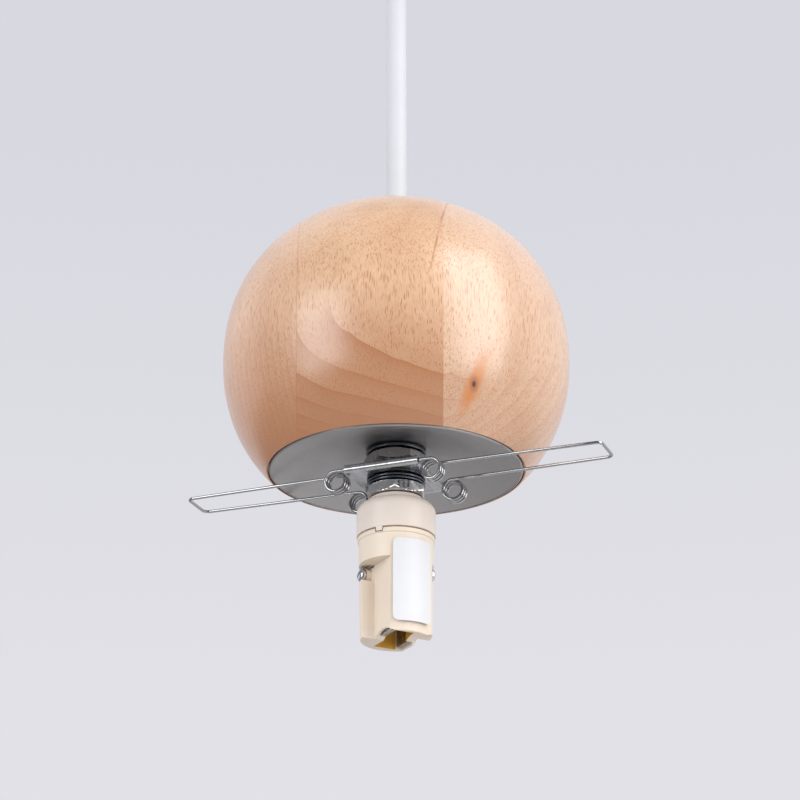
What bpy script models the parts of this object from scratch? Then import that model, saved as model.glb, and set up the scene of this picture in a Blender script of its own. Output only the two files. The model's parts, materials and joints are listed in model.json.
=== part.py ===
# Pendant light: a ceiling rose, a short white cord and a turned beech ball whose
# steel base disc carries a two-pin lampholder and a pair of sprung wire shade clips.
# Metres, +Z up. The origin is on the ceiling plane, on the lamp's own axis.
# +X runs along the wire arms. Every height below the cord is measured from the ball's centre.
import math

import bmesh
import bpy
from mathutils import Quaternion, Vector

# Shared clearances
FIT_GAP = 0.0003
THREAD_GAP = 0.0003
CUT_OVERRUN = 0.002
SMOOTH_ANGLE = math.radians(40)
MERGE_DISTANCE = 1e-6
PARALLEL_SHARE = 1e-9

# Pan heads: the flat of the top, the shoulder below it, and how far down each lies
HEAD_FLAT_SHARE = 0.5
HEAD_SHOULDER_SHARE = 0.85
HEAD_DOME_SHARE = 0.12
HEAD_SHOULDER_DROP_SHARE = 0.33
HEAD_SIDE_SHARE = 0.3
SCREW_STEPS = 12
HEAD_STEPS = 16
HOLE_SIDES = 10
WAY_SIDES = 12
SCOOP_SIDES = 32

# Cord
CORD_DIAMETER = 0.006
CORD_FREE_LENGTH = 0.100
CORD_BORE_GAP = 0.0004
CORD_STEP_DIAMETERS = 2.5
CORD_END_RINGS = 3
CORE_DIAMETER = 0.0018
CORE_SPACING = 0.0026

# Ceiling rose
ROSE_HEIGHT = 0.026
ROSE_RADIUS = 0.048
ROSE_CORNER_RADIUS = 0.006
ROSE_WALL = 0.0010
ROSE_HOLE_RADIUS = 0.0053
STRAP_END_GAP = 0.0030
STRAP_LENGTH = 2 * (ROSE_RADIUS - ROSE_WALL - STRAP_END_GAP)
STRAP_WIDTH = 0.022
STRAP_THICKNESS = 0.0015
STRAP_EAR_DROP = 0.0125
STRAP_SLOT_PLACE = 0.025
STRAP_SLOT_RADIUS = 0.0024
STRAP_SLOT_LENGTH = 0.012
ROSE_SCREW_DROP = 0.0080
ROSE_SCREW_RADIUS = 0.0015
ROSE_SCREW_HEAD_RADIUS = 0.0034
ROSE_SCREW_HEAD_HEIGHT = 0.0022
ROSE_SCREW_REACH = 0.0060
ROSE_STEPS = 48
ROSE_CORNER_STEPS = 4

# Cord grip below the rose
GRIP_LENGTH = 0.014
GRIP_RADIUS = 0.0068
GRIP_MOUTH_RADIUS = 0.0050
GRIP_TAPER_LENGTH = 0.0060
GRIP_STEM_RADIUS = 0.0050
GRIP_STEM_LENGTH = 0.0062
GRIP_NUT_ACROSS_FLATS = 0.014
GRIP_NUT_HEIGHT = 0.0030
GRIP_SCREW_RADIUS = 0.0015
GRIP_SCREW_PROUD = 0.0008
GRIP_SCREW_RISE = 0.0100
TAIL_STUB_LENGTH = 0.0020

# Terminal block in the rose
BLOCK_LENGTH = 0.020
BLOCK_WIDTH = 0.013
BLOCK_HEIGHT = 0.0100
BLOCK_PLACE = 0.0115
BLOCK_HOLE_RADIUS = 0.0016
BLOCK_HOLE_DEPTH = 0.0040
BLOCK_SCREW_WELL_RADIUS = 0.0022
BLOCK_SCREW_WELL_DEPTH = 0.0030
BLOCK_SCREW_RADIUS = 0.0018
BLOCK_SCREW_HEIGHT = 0.0020
BLOCK_FIXING_RADIUS = 0.0011
BLOCK_FIXING_HEAD_RADIUS = 0.0020
BLOCK_FIXING_HEAD_HEIGHT = 0.0012
BLOCK_FIXING_INSET = 0.0020
TAIL_BEND_RADIUS = 0.00225

# Beech ball, a turned shape a little squarer than an ellipsoid
BALL_RADIUS = 0.050
BALL_HALF_HEIGHT = 0.04713
BALL_SQUARENESS_SHARE = 2.1438
BALL_FOOT_DROP = 0.0334
BALL_PROFILE_POINTS = 18
BALL_STEPS = 40
CHAMBER_RADIUS = 0.026
CHAMBER_CEILING_DROP = 0.0120
CLAMP_BORE_RADIUS = 0.013
CLAMP_BORE_RISE = 0.0090
CORD_HOLE_CHAMFER = 0.0006

# Steel base disc in the foot of the ball, dished upwards to a flat seat round the tube
DISC_RADIUS = 0.0361
DISC_SEAM = 0.0005
DISC_THICKNESS = 0.0010
DISC_UNDERSIDE_DROP = 0.0337
DISC_DISH_DEPTH = 0.0064
DISC_SEAT_RADIUS = 0.0094
DISC_EDGE_CHAMFER = 0.0003
DISC_STEPS = 64
DISH_POINTS = 9
DISH_ROOF_POINTS = 4

# Dark washer and nut that clamp the disc
DISC_WASHER_RADIUS = 0.0086
DISC_WASHER_THICKNESS = 0.0009
DISC_NUT_HEIGHT = 0.0033
DISC_NUT_TURN = math.radians(-73)

# Threaded tube and its nuts
TUBE_RADIUS = 0.0050
TUBE_BORE_RADIUS = 0.0040
TUBE_TOP_DROP = 0.0040
TUBE_FOOT_DROP = 0.0462
NUT_ACROSS_FLATS = 0.016
LOWER_NUT_HEIGHT = 0.0033
LOWER_NUT_TURN = math.radians(-42)
INNER_NUT_HEIGHT = 0.0030
NUT_CHAMFER = 0.0006
NUT_STEPS = 24
TUBE_STEPS = 20

# Anchor plate in the chamber
ANCHOR_LENGTH = 0.046
ANCHOR_WIDTH = 0.014
ANCHOR_THICKNESS = 0.0020
ANCHOR_SCREW_PLACE = 0.0180
WOOD_SCREW_RADIUS = 0.0018
WOOD_SCREW_HEAD_RADIUS = 0.0036
WOOD_SCREW_HEAD_HEIGHT = 0.0022
WOOD_SCREW_LENGTH = 0.014
WOOD_SCREW_POINT = 0.0030

# Cord clamp on top of the threaded tube
CLAMP_RADIUS = 0.0078
CLAMP_TOP_RISE = 0.0070
CLAMP_SKIRT_DROP = 0.0078
CLAMP_SCREW_RADIUS = 0.0015
CLAMP_SCREW_RISE = 0.0020
CLAMP_SCREW_PROUD = 0.0012

# Clip bracket, a plate with its two long edges rolled into tubes
BRACKET_LENGTH = 0.022
ROLL_SPACING = 0.0224
ROLL_RADIUS = 0.0013
ROLL_POINTS = 12
BRACKET_PLATE_THICKNESS = 0.0008
BRACKET_PLATE_INSET = 0.0006

# Washers under the bracket
WASHER_RADIUS = 0.00835
LOCK_WASHER_THICKNESS = 0.0006
PLAIN_WASHER_THICKNESS = 0.0006
LOCK_WASHER_SPLIT = 0.0008
LOCK_WASHER_SPLIT_TURN = math.radians(200)
WASHER_STEPS = 32

# Sprung wire clips
WIRE_DIAMETER = 0.00095
COIL_MEAN_RADIUS = 0.0028
COIL_PLACE = 0.0144
COIL_PITCH = 0.0015
COIL_TURNS = 3
COIL_POINTS_PER_TURN = 10
ARM_TIP_REACH = 0.0625
ARM_TIP_WIDTH = 0.0116
ARM_CORNER_RADIUS = 0.0018
ARM_CORNER_POINTS = 4
ARM_SPAN_POINTS = 3
LEG_START_GAP = 0.0008

# Lampholder cap
CAP_RADIUS = 0.0112
CAP_SHOULDER_RADIUS = 0.0104
CAP_SHOULDER_DROP = 0.0015
CAP_CORNER_DROP = 0.0025
CAP_NECK_RADIUS = 0.0077
CAP_NECK_HEIGHT = 0.0014
CAP_FOOT_DROP = 0.0534
CAP_WALL = 0.0014
CAP_ROOF_THICKNESS = 0.0032
CAP_TOOTH_WIDTH = 0.0024
CAP_TOOTH_DROP = 0.0012
CAP_TOOTH_TURN = math.radians(-92)
HOLDER_STEPS = 40

# Lampholder body, its own axes turned from the arms' axes
HOLDER_TURN = math.radians(139)
COLLAR_RADIUS = 0.0109
COLLAR_HEIGHT = 0.0014
BODY_RADIUS = 0.0106
BODY_FOOT_RADIUS = 0.0100
BODY_FOOT_DROP = 0.0836
SPIGOT_TOP_DROP = 0.0505
POCKET_FACE = 0.0061
POCKET_LIP = 0.0012
SCREW_NOTCH_END = 0.0070
SCREW_NOTCH_DROP = 0.0024
SCREW_NOTCH_SET_BACK = 0.0001
POCKET_LEDGE_DROP = 0.0620
SLOT_HALF_LENGTH = 0.0072
SLOT_HALF_WIDTH = 0.0032
SLOT_DEPTH = 0.0150
SCOOP_RADIUS = 0.0085
SCOOP_RISE = 0.0016
SCOOP_PLACE = -0.0038
BOSS_RADIUS = 0.0019
BOSS_LENGTH = 0.0018
SIDE_SCREW_PLACE = 0.0044
SIDE_SCREW_DROP = 0.0645
SIDE_SCREW_RADIUS = 0.0012
SIDE_SCREW_HEAD_RADIUS = 0.0019
SIDE_SCREW_HEAD_HEIGHT = 0.0015
BARREL_RADIUS = 0.00165
BARREL_PLACE_ALONG = 0.0034
BARREL_PLACE_ACROSS = 0.0069
BARREL_LENGTH = 0.0052
BARREL_PROUD = 0.0003

# Contacts beside the lamp slot
CONTACT_NEAR = -0.0064
CONTACT_FAR = -0.0006
CONTACT_BRIDGE_HEIGHT = 0.0025
CONTACT_BRIDGE_GAP = 0.0004
BRIDGE_SET_BACK = 0.0001
CONTACT_INNER_FACE = 0.0036
CONTACT_OUTER_FACE = 0.0050
CONTACT_FOOT_RISE = 0.0006
CONTACT_PAD_HEIGHT = 0.0110
TONGUE_NEAR = 0.0024
TONGUE_FAR = 0.0054
TONGUE_THICKNESS = 0.0007
TONGUE_TOP_DROP = 0.0580

# Label, left blank
LABEL_THICKNESS = 0.0002
LABEL_TOP_DROP = 0.0570
LABEL_FOOT_DROP = 0.0810
LABEL_START = math.radians(-73.5)
LABEL_SWEEP = math.radians(64)
LABEL_STEPS = 12

# Places that follow from the sizes above
GRIP_MOUTH_Z = -(ROSE_HEIGHT + GRIP_LENGTH)
BALL_TOP_Z = GRIP_MOUTH_Z - CORD_FREE_LENGTH
CORD_RADIUS = CORD_DIAMETER / 2
CORD_BORE_RADIUS = CORD_RADIUS + CORD_BORE_GAP


def ball_height_at(radius):
    """Height of the ball's superellipse above its centre at a radius."""
    power = BALL_SQUARENESS_SHARE
    return BALL_HALF_HEIGHT * (1 - (radius / BALL_RADIUS) ** power) ** (1 / power)


MOUTH_RISE = ball_height_at(CORD_BORE_RADIUS + CORD_HOLE_CHAMFER)
CENTRE_Z = BALL_TOP_Z - MOUTH_RISE


def at_height(drop):
    """Absolute height of what lies this far below the ball's centre."""
    return CENTRE_Z - drop


DISC_UNDERSIDE_Z = at_height(DISC_UNDERSIDE_DROP)
DISC_WASHER_TOP_Z = DISC_UNDERSIDE_Z + DISC_DISH_DEPTH - FIT_GAP
ROLL_Z = DISC_UNDERSIDE_Z - FIT_GAP - ROLL_RADIUS
PLATE_TOP_Z = ROLL_Z - ROLL_RADIUS + BRACKET_PLATE_INSET + BRACKET_PLATE_THICKNESS - FIT_GAP
PLATE_UNDERSIDE_Z = PLATE_TOP_Z - BRACKET_PLATE_THICKNESS
LOCK_WASHER_TOP_Z = PLATE_UNDERSIDE_Z - FIT_GAP
PLAIN_WASHER_TOP_Z = LOCK_WASHER_TOP_Z - LOCK_WASHER_THICKNESS - FIT_GAP
LOWER_NUT_TOP_Z = PLAIN_WASHER_TOP_Z - PLAIN_WASHER_THICKNESS - FIT_GAP
CAP_TOP_Z = LOWER_NUT_TOP_Z - LOWER_NUT_HEIGHT - FIT_GAP
CAP_FOOT_Z = at_height(CAP_FOOT_DROP)
COLLAR_TOP_Z = CAP_FOOT_Z - FIT_GAP
BODY_FOOT_Z = at_height(BODY_FOOT_DROP)
COIL_Z = ROLL_Z - COIL_MEAN_RADIUS
ROLL_PLACE = ROLL_SPACING / 2
ANCHOR_TOP_Z = at_height(CHAMBER_CEILING_DROP) - FIT_GAP
ANCHOR_UNDERSIDE_Z = ANCHOR_TOP_Z - ANCHOR_THICKNESS
TUBE_TOP_Z = at_height(TUBE_TOP_DROP)
TUBE_FOOT_Z = at_height(TUBE_FOOT_DROP)
THREADED_HOLE_RADIUS = TUBE_RADIUS + THREAD_GAP
BLOCK_FIXING_Y = STRAP_WIDTH / 2 - BLOCK_FIXING_INSET
UP = Vector((0, 0, 1))


def clear_scene():
    for old in list(bpy.data.objects):
        bpy.data.objects.remove(old, do_unlink=True)


def new_collection(name):
    collection = bpy.data.collections.new(name)
    bpy.context.scene.collection.children.link(collection)
    return collection


clear_scene()
PARTS = new_collection("pendant_light")
CUTTERS = new_collection("cutters")


def new_material(name, colour, roughness, metallic):
    material = bpy.data.materials.new(name)
    material.use_nodes = True
    shader = material.node_tree.nodes["Principled BSDF"]
    shader.inputs["Base Color"].default_value = (*colour, 1)
    shader.inputs["Roughness"].default_value = roughness
    shader.inputs["Metallic"].default_value = metallic
    return material


BEECH = new_material("beech", (0.72, 0.44, 0.25), 0.38, 0)
WHITE_SHEATH = new_material("white_sheath", (0.86, 0.86, 0.87), 0.42, 0)
WHITE_PAINT = new_material("white_paint", (0.85, 0.85, 0.86), 0.35, 0)
CLEAR_NYLON = new_material("white_nylon", (0.82, 0.82, 0.80), 0.45, 0)
BRUSHED_STEEL = new_material("brushed_steel", (0.50, 0.49, 0.48), 0.32, 1)
ZINC = new_material("bright_zinc", (0.72, 0.73, 0.75), 0.20, 1)
DARK_STEEL = new_material("dark_steel", (0.12, 0.12, 0.14), 0.30, 1)
CREAM_RESIN = new_material("cream_resin", (0.78, 0.70, 0.56), 0.45, 0)
BRASS = new_material("brass", (0.70, 0.52, 0.25), 0.35, 1)
CONTACT_NICKEL = new_material("contact_nickel", (0.62, 0.60, 0.56), 0.30, 1)
BLANK_LABEL = new_material("blank_label", (0.93, 0.93, 0.95), 0.50, 0)
BROWN_CORE = new_material("brown_core", (0.20, 0.09, 0.04), 0.45, 0)
BLUE_CORE = new_material("blue_core", (0.05, 0.16, 0.42), 0.45, 0)


def placed(name, mesh, location=(0, 0, 0), rotation=(0, 0, 0)):
    """A mesh as an object of that name, in the parts' collection."""
    piece = bpy.data.objects.new(name, mesh)
    PARTS.objects.link(piece)
    piece.location = location
    piece.rotation_euler = rotation
    return piece


def dressed(piece, material):
    """Gives the piece its material and smooth shading up to the sharp edges."""
    piece.data.materials.append(material)
    if piece.type == "MESH":
        piece.data.shade_smooth()
        piece.data.set_sharp_from_angle(angle=SMOOTH_ANGLE)
    return piece


def as_cutter(piece):
    """Turns a piece into a hidden cutter."""
    PARTS.objects.unlink(piece)
    CUTTERS.objects.link(piece)
    piece.hide_render = True
    piece.display_type = "WIRE"
    return piece


def cut(piece, cutter, operation="DIFFERENCE"):
    """Adds an exact Boolean of the hidden cutter to the piece."""
    boolean = piece.modifiers.new(cutter.name, "BOOLEAN")
    boolean.operation = operation
    boolean.solver = "EXACT"
    boolean.object = as_cutter(cutter)


def block(name, size, location, rotation=(0, 0, 0)):
    """A box of that size, its middle at the location."""
    mesh = bpy.data.meshes.new(name)
    box = bmesh.new()
    bmesh.ops.create_cube(box, size=1)
    bmesh.ops.scale(box, vec=size, verts=box.verts)
    box.to_mesh(mesh)
    box.free()
    return placed(name, mesh, location, rotation)


def rod(name, radius, start, end, sides=HEAD_STEPS, turn=0):
    """A cylinder between two points, its first corner turned by an angle."""
    start = Vector(start)
    end = Vector(end)
    along = end - start
    mesh = bpy.data.meshes.new(name)
    drum = bmesh.new()
    bmesh.ops.create_cone(
        drum,
        cap_ends=True,
        segments=sides,
        radius1=radius,
        radius2=radius,
        depth=along.length,
    )
    drum.to_mesh(mesh)
    drum.free()
    facing = along.to_track_quat("Z", "Y").to_euler()
    if abs(along.normalized().dot(UP)) > 1 - PARALLEL_SHARE:
        facing = (0, 0, turn) if along.z > 0 else (math.pi, 0, turn)
    return placed(name, mesh, (start + end) / 2, facing)


def turned(name, profile, steps, ring=True, angle=2 * math.pi, axis_angle=0):
    """A profile of (radius, height) pairs carried round Z. It runs down its outer side."""
    mesh = bpy.data.meshes.new(name)
    corners = [(radius, 0, height) for radius, height in profile]
    edges = [(i, i + 1) for i in range(len(corners) - 1)]
    if ring:
        edges.append((len(corners) - 1, 0))
    mesh.from_pydata(corners, edges, [])
    piece = placed(name, mesh, rotation=(0, 0, axis_angle))
    screw = piece.modifiers.new("turning", "SCREW")
    screw.axis = "Z"
    screw.angle = angle
    screw.steps = steps
    screw.render_steps = steps
    screw.use_merge_vertices = True
    screw.merge_threshold = MERGE_DISTANCE
    screw.use_smooth_shade = True
    return piece


def tube_of(name, points, radius, resolution=1, shares=None):
    """A wire through the points, as a curve with filled caps."""
    curve = bpy.data.curves.new(name, "CURVE")
    curve.dimensions = "3D"
    curve.bevel_depth = radius
    curve.bevel_resolution = resolution
    curve.use_fill_caps = True
    spline = curve.splines.new("POLY")
    spline.points.add(len(points) - 1)
    for i, point in enumerate(points):
        spline.points[i].co = (*point, 1)
        spline.points[i].radius = 1 if shares is None else shares[i]
    piece = bpy.data.objects.new(name, curve)
    PARTS.objects.link(piece)
    return piece


def prism(name, outline, length):
    """A closed outline filled and extruded by half its length each way, made a mesh."""
    curve = bpy.data.curves.new(name, "CURVE")
    curve.dimensions = "2D"
    curve.fill_mode = "BOTH"
    curve.extrude = length / 2
    spline = curve.splines.new("POLY")
    spline.use_cyclic_u = True
    spline.points.add(len(outline) - 1)
    for point, corner in zip(spline.points, outline):
        point.co = (*corner, 0, 1)
    flat = bpy.data.objects.new(name, curve)
    PARTS.objects.link(flat)
    bpy.context.view_layer.update()
    graph = bpy.context.evaluated_depsgraph_get()
    mesh = bpy.data.meshes.new_from_object(flat.evaluated_get(graph))
    bpy.data.objects.remove(flat, do_unlink=True)
    body = bmesh.new()
    body.from_mesh(mesh)
    bmesh.ops.remove_doubles(body, verts=body.verts, dist=MERGE_DISTANCE)
    bmesh.ops.recalc_face_normals(body, faces=body.faces)
    body.to_mesh(mesh)
    body.free()
    return placed(name, mesh)


def dish_height(radius):
    """Height of the disc's underside: a parabola that rises from its edge to its flat seat."""
    seat_share = (DISC_SEAT_RADIUS / DISC_RADIUS) ** 2
    radius_share = (max(radius, DISC_SEAT_RADIUS) / DISC_RADIUS) ** 2
    return DISC_UNDERSIDE_Z + DISC_DISH_DEPTH * (1 - radius_share) / (1 - seat_share)


def nut(name, across_flats, top, height, turn, bore_radius):
    """A hexagon nut, its corners cut back by a cone at both faces, with a plain bore."""
    corner = across_flats / math.sqrt(3)
    body = rod(name, corner, (0, 0, top - height), (0, 0, top), sides=6, turn=turn)
    flat = across_flats / 2
    barrel = [
        (flat, top),
        (corner + NUT_CHAMFER / 2, top - NUT_CHAMFER),
        (corner + NUT_CHAMFER / 2, top - height + NUT_CHAMFER),
        (flat, top - height),
        (0, top - height),
        (0, top),
    ]
    cut(body, turned(name + "_corners", barrel[-1:] + barrel[:-1], NUT_STEPS, ring=False), "INTERSECT")
    low = (0, 0, top - height - CUT_OVERRUN)
    high = (0, 0, top + CUT_OVERRUN)
    cut(body, rod(name + "_bore", bore_radius, low, high, sides=TUBE_STEPS))
    return body


def smooth_route(corners, radius, steps):
    """A polyline whose inner corners are rounded to arcs of one radius."""
    corners = [Vector(corner) for corner in corners]
    route = [corners[0]]
    for before, corner, after in zip(corners, corners[1:], corners[2:]):
        back = (before - corner).normalized()
        ahead = (after - corner).normalized()
        half = back.angle(ahead) / 2
        reach = radius / math.tan(half)
        centre = corner + (back + ahead).normalized() * (radius / math.sin(half))
        first = corner + back * reach - centre
        last = corner + ahead * reach - centre
        axis = first.cross(last).normalized()
        sweep = first.angle(last)
        for i in range(steps + 1):
            route.append(centre + Quaternion(axis, sweep * i / steps) @ first)
    route.append(corners[-1])
    return route


def pan_head(radius, seat, height):
    """The profile of a pan head from its top's middle to its seat, as (radius, height) pairs."""
    top = seat + height
    return [
        (0, top),
        (radius * HEAD_FLAT_SHARE, top - height * HEAD_DOME_SHARE),
        (radius * HEAD_SHOULDER_SHARE, top - height * HEAD_SHOULDER_DROP_SHARE),
        (radius, seat + height * HEAD_SIDE_SHARE),
        (radius, seat),
    ]


def domed_cord(name, low, high):
    """The free cord: straight, with a half-round end at each pivot, in even short steps."""
    steps = max(2, round((high - low) / (CORD_STEP_DIAMETERS * CORD_DIAMETER)))
    heights = [low + (high - low) * i / steps for i in range(steps + 1)]
    shares = [1] * len(heights)
    quarter = math.pi / 2
    for i in range(1, CORD_END_RINGS + 1):
        turn = quarter * i / (CORD_END_RINGS + 1 / 2)
        heights = [low - CORD_RADIUS * math.sin(turn)] + heights + [high + CORD_RADIUS * math.sin(turn)]
        shares = [math.cos(turn)] + shares + [math.cos(turn)]
    points = [(0, 0, height) for height in heights]
    return tube_of(name, points, CORD_RADIUS, resolution=3, shares=shares)


# Ceiling rose


def rose_cup():
    """A shallow pressed cup, open at the ceiling, with a hole for the grip's stem."""
    outer = []
    for i in range(ROSE_CORNER_STEPS + 1):
        turn = math.pi / 2 * i / ROSE_CORNER_STEPS
        outer.append(
            (
                ROSE_RADIUS - ROSE_CORNER_RADIUS * (1 - math.cos(turn)),
                -ROSE_HEIGHT + ROSE_CORNER_RADIUS * (1 - math.sin(turn)),
            )
        )
    inner_corner = ROSE_CORNER_RADIUS - ROSE_WALL
    inner = []
    for i in range(ROSE_CORNER_STEPS + 1):
        turn = math.pi / 2 * i / ROSE_CORNER_STEPS
        inner.append(
            (
                ROSE_RADIUS - ROSE_WALL - inner_corner * (1 - math.cos(turn)),
                -ROSE_HEIGHT + ROSE_WALL + inner_corner * (1 - math.sin(turn)),
            )
        )
    profile = [(ROSE_RADIUS, 0)] + outer
    profile += [(ROSE_HOLE_RADIUS, -ROSE_HEIGHT), (ROSE_HOLE_RADIUS, -ROSE_HEIGHT + ROSE_WALL)]
    profile += inner[::-1] + [(ROSE_RADIUS - ROSE_WALL, 0)]
    cup = turned("rose_cup", profile, ROSE_STEPS)
    for side in (-1, 1):
        start = (side * (ROSE_RADIUS - ROSE_WALL - CUT_OVERRUN), 0, -ROSE_SCREW_DROP)
        end = (side * (ROSE_RADIUS + CUT_OVERRUN), 0, -ROSE_SCREW_DROP)
        cut(cup, rod("cup_screw_hole", ROSE_SCREW_RADIUS + FIT_GAP, start, end, sides=HOLE_SIDES))
    return dressed(cup, WHITE_PAINT)


def ceiling_strap():
    """A flat bar against the ceiling with two slots, its ends bent down as ears."""
    half = STRAP_LENGTH / 2
    outline = [
        (-half, 0),
        (-half, -STRAP_EAR_DROP),
        (-half + STRAP_THICKNESS, -STRAP_EAR_DROP),
        (-half + STRAP_THICKNESS, -STRAP_THICKNESS),
        (half - STRAP_THICKNESS, -STRAP_THICKNESS),
        (half - STRAP_THICKNESS, -STRAP_EAR_DROP),
        (half, -STRAP_EAR_DROP),
        (half, 0),
    ]
    strap = prism("ceiling_strap", outline, STRAP_WIDTH)
    strap.rotation_euler = (math.pi / 2, 0, 0)
    for side in (-1, 1):
        slot_size = (STRAP_SLOT_LENGTH - 2 * STRAP_SLOT_RADIUS, 2 * STRAP_SLOT_RADIUS, 2 * CUT_OVERRUN)
        place = side * STRAP_SLOT_PLACE
        cut(strap, block("strap_slot", slot_size, (place, 0, -STRAP_THICKNESS / 2)))
        for end in (-1, 1):
            x = place + end * slot_size[0] / 2
            low = (x, 0, -STRAP_THICKNESS - CUT_OVERRUN)
            high = (x, 0, CUT_OVERRUN)
            cut(strap, rod("strap_slot_end", STRAP_SLOT_RADIUS, low, high, sides=WAY_SIDES))
        start = (side * (half - STRAP_THICKNESS - CUT_OVERRUN), 0, -ROSE_SCREW_DROP)
        stop = (side * (half + CUT_OVERRUN), 0, -ROSE_SCREW_DROP)
        cut(strap, rod("ear_screw_hole", ROSE_SCREW_RADIUS + FIT_GAP, start, stop, sides=HOLE_SIDES))
    low = (0, BLOCK_FIXING_Y, -STRAP_THICKNESS - CUT_OVERRUN)
    high = (0, BLOCK_FIXING_Y, CUT_OVERRUN)
    cut(strap, rod("block_fixing_hole", BLOCK_FIXING_RADIUS + FIT_GAP, low, high, sides=HOLE_SIDES))
    return dressed(strap, ZINC)


def rose_screw(name, side):
    """A pan-head screw through the cup's wall into the strap's ear."""
    seat = ROSE_RADIUS + FIT_GAP
    profile = pan_head(ROSE_SCREW_HEAD_RADIUS, seat, ROSE_SCREW_HEAD_HEIGHT)
    profile += [
        (ROSE_SCREW_RADIUS, seat),
        (ROSE_SCREW_RADIUS, seat - ROSE_SCREW_REACH),
        (0, seat - ROSE_SCREW_REACH),
    ]
    screw = turned(name, profile, SCREW_STEPS, ring=False)
    screw.location = (0, 0, -ROSE_SCREW_DROP)
    screw.rotation_euler = (0, side * math.pi / 2, 0)
    return dressed(screw, ZINC)


def cord_grip():
    """A moulded nipple: tapered sleeve below the rose, threaded stem through its floor."""
    top = -ROSE_HEIGHT - FIT_GAP
    stem_top = -ROSE_HEIGHT + GRIP_STEM_LENGTH
    profile = [
        (CORD_BORE_RADIUS, stem_top),
        (GRIP_STEM_RADIUS, stem_top),
        (GRIP_STEM_RADIUS, top),
        (GRIP_RADIUS, top),
        (GRIP_RADIUS, GRIP_MOUTH_Z + GRIP_TAPER_LENGTH),
        (GRIP_MOUTH_RADIUS, GRIP_MOUTH_Z),
        (CORD_BORE_RADIUS, GRIP_MOUTH_Z),
    ]
    grip = turned("cord_grip", profile, NUT_STEPS)
    height = -ROSE_HEIGHT - GRIP_LENGTH + GRIP_SCREW_RISE
    start = (0, 0, height)
    end = (GRIP_RADIUS + CUT_OVERRUN, 0, height)
    cut(grip, rod("grip_screw_hole", GRIP_SCREW_RADIUS + FIT_GAP, start, end, sides=HOLE_SIDES))
    return dressed(grip, CLEAR_NYLON)


def grip_screw():
    height = -ROSE_HEIGHT - GRIP_LENGTH + GRIP_SCREW_RISE
    start = (CORD_RADIUS + FIT_GAP, 0, height)
    end = (GRIP_RADIUS + GRIP_SCREW_PROUD, 0, height)
    return dressed(rod("grip_screw", GRIP_SCREW_RADIUS, start, end, sides=HOLE_SIDES), ZINC)


def grip_nut():
    top = -ROSE_HEIGHT + ROSE_WALL + FIT_GAP + GRIP_NUT_HEIGHT
    bore = GRIP_STEM_RADIUS + THREAD_GAP
    return dressed(nut("grip_nut", GRIP_NUT_ACROSS_FLATS, top, GRIP_NUT_HEIGHT, 0, bore), ZINC)


TAIL_TOP_Z = -ROSE_HEIGHT + GRIP_STEM_LENGTH + TAIL_STUB_LENGTH
TAIL_FOOT_Z = GRIP_MOUTH_Z + CORD_RADIUS + FIT_GAP


def cord_tail():
    """The sheathed end of the cord, held in the grip and stripped just above it."""
    tail = tube_of("cord_tail", [(0, 0, TAIL_FOOT_Z), (0, 0, TAIL_TOP_Z)], CORD_RADIUS, resolution=3)
    return dressed(tail, WHITE_SHEATH)


BLOCK_TOP_Z = -STRAP_THICKNESS - FIT_GAP
BLOCK_MIDDLE_Z = BLOCK_TOP_Z - BLOCK_HEIGHT / 2
BLOCK_FACE_Y = BLOCK_PLACE - BLOCK_WIDTH / 2
POLE_PLACE = BLOCK_LENGTH / 4


def terminal_block():
    """A two-pole block beside the strap, its wire holes facing the cord's axis."""
    size = (BLOCK_LENGTH, BLOCK_WIDTH, BLOCK_HEIGHT)
    body = block("terminal_block", size, (0, BLOCK_PLACE, BLOCK_MIDDLE_Z))
    for side in (-1, 1):
        x = side * POLE_PLACE
        start = (x, BLOCK_FACE_Y - CUT_OVERRUN, BLOCK_MIDDLE_Z)
        end = (x, BLOCK_FACE_Y + BLOCK_HOLE_DEPTH, BLOCK_MIDDLE_Z)
        cut(body, rod("pole_hole", BLOCK_HOLE_RADIUS, start, end, sides=HOLE_SIDES))
        well_foot = BLOCK_MIDDLE_Z - BLOCK_HEIGHT / 2
        low = (x, BLOCK_PLACE, well_foot - CUT_OVERRUN)
        high = (x, BLOCK_PLACE, well_foot + BLOCK_SCREW_WELL_DEPTH)
        cut(body, rod("pole_well", BLOCK_SCREW_WELL_RADIUS, low, high, sides=WAY_SIDES))
    low = (0, BLOCK_FIXING_Y, BLOCK_TOP_Z - BLOCK_HEIGHT - CUT_OVERRUN)
    high = (0, BLOCK_FIXING_Y, BLOCK_TOP_Z + CUT_OVERRUN)
    cut(body, rod("block_hole", BLOCK_FIXING_RADIUS + FIT_GAP, low, high, sides=HOLE_SIDES))
    return dressed(body, CREAM_RESIN)


def block_screw():
    """A small screw up through the terminal block into the strap."""
    seat = BLOCK_TOP_Z - BLOCK_HEIGHT - FIT_GAP
    head_foot = seat - BLOCK_FIXING_HEAD_HEIGHT
    profile = [
        (0, -FIT_GAP),
        (BLOCK_FIXING_RADIUS, -FIT_GAP),
        (BLOCK_FIXING_RADIUS, seat),
        (BLOCK_FIXING_HEAD_RADIUS, seat),
        (BLOCK_FIXING_HEAD_RADIUS, head_foot),
        (0, head_foot),
    ]
    screw = turned("block_screw", profile, SCREW_STEPS, ring=False)
    screw.location = (0, BLOCK_FIXING_Y, 0)
    return dressed(screw, ZINC)


def pole_screw(name, side):
    well_roof = BLOCK_MIDDLE_Z - BLOCK_HEIGHT / 2 + BLOCK_SCREW_WELL_DEPTH
    high = (side * POLE_PLACE, BLOCK_PLACE, well_roof - FIT_GAP)
    low = (side * POLE_PLACE, BLOCK_PLACE, well_roof - FIT_GAP - BLOCK_SCREW_HEIGHT)
    return dressed(rod(name, BLOCK_SCREW_RADIUS, low, high, sides=HOLE_SIDES), BRASS)


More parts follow.
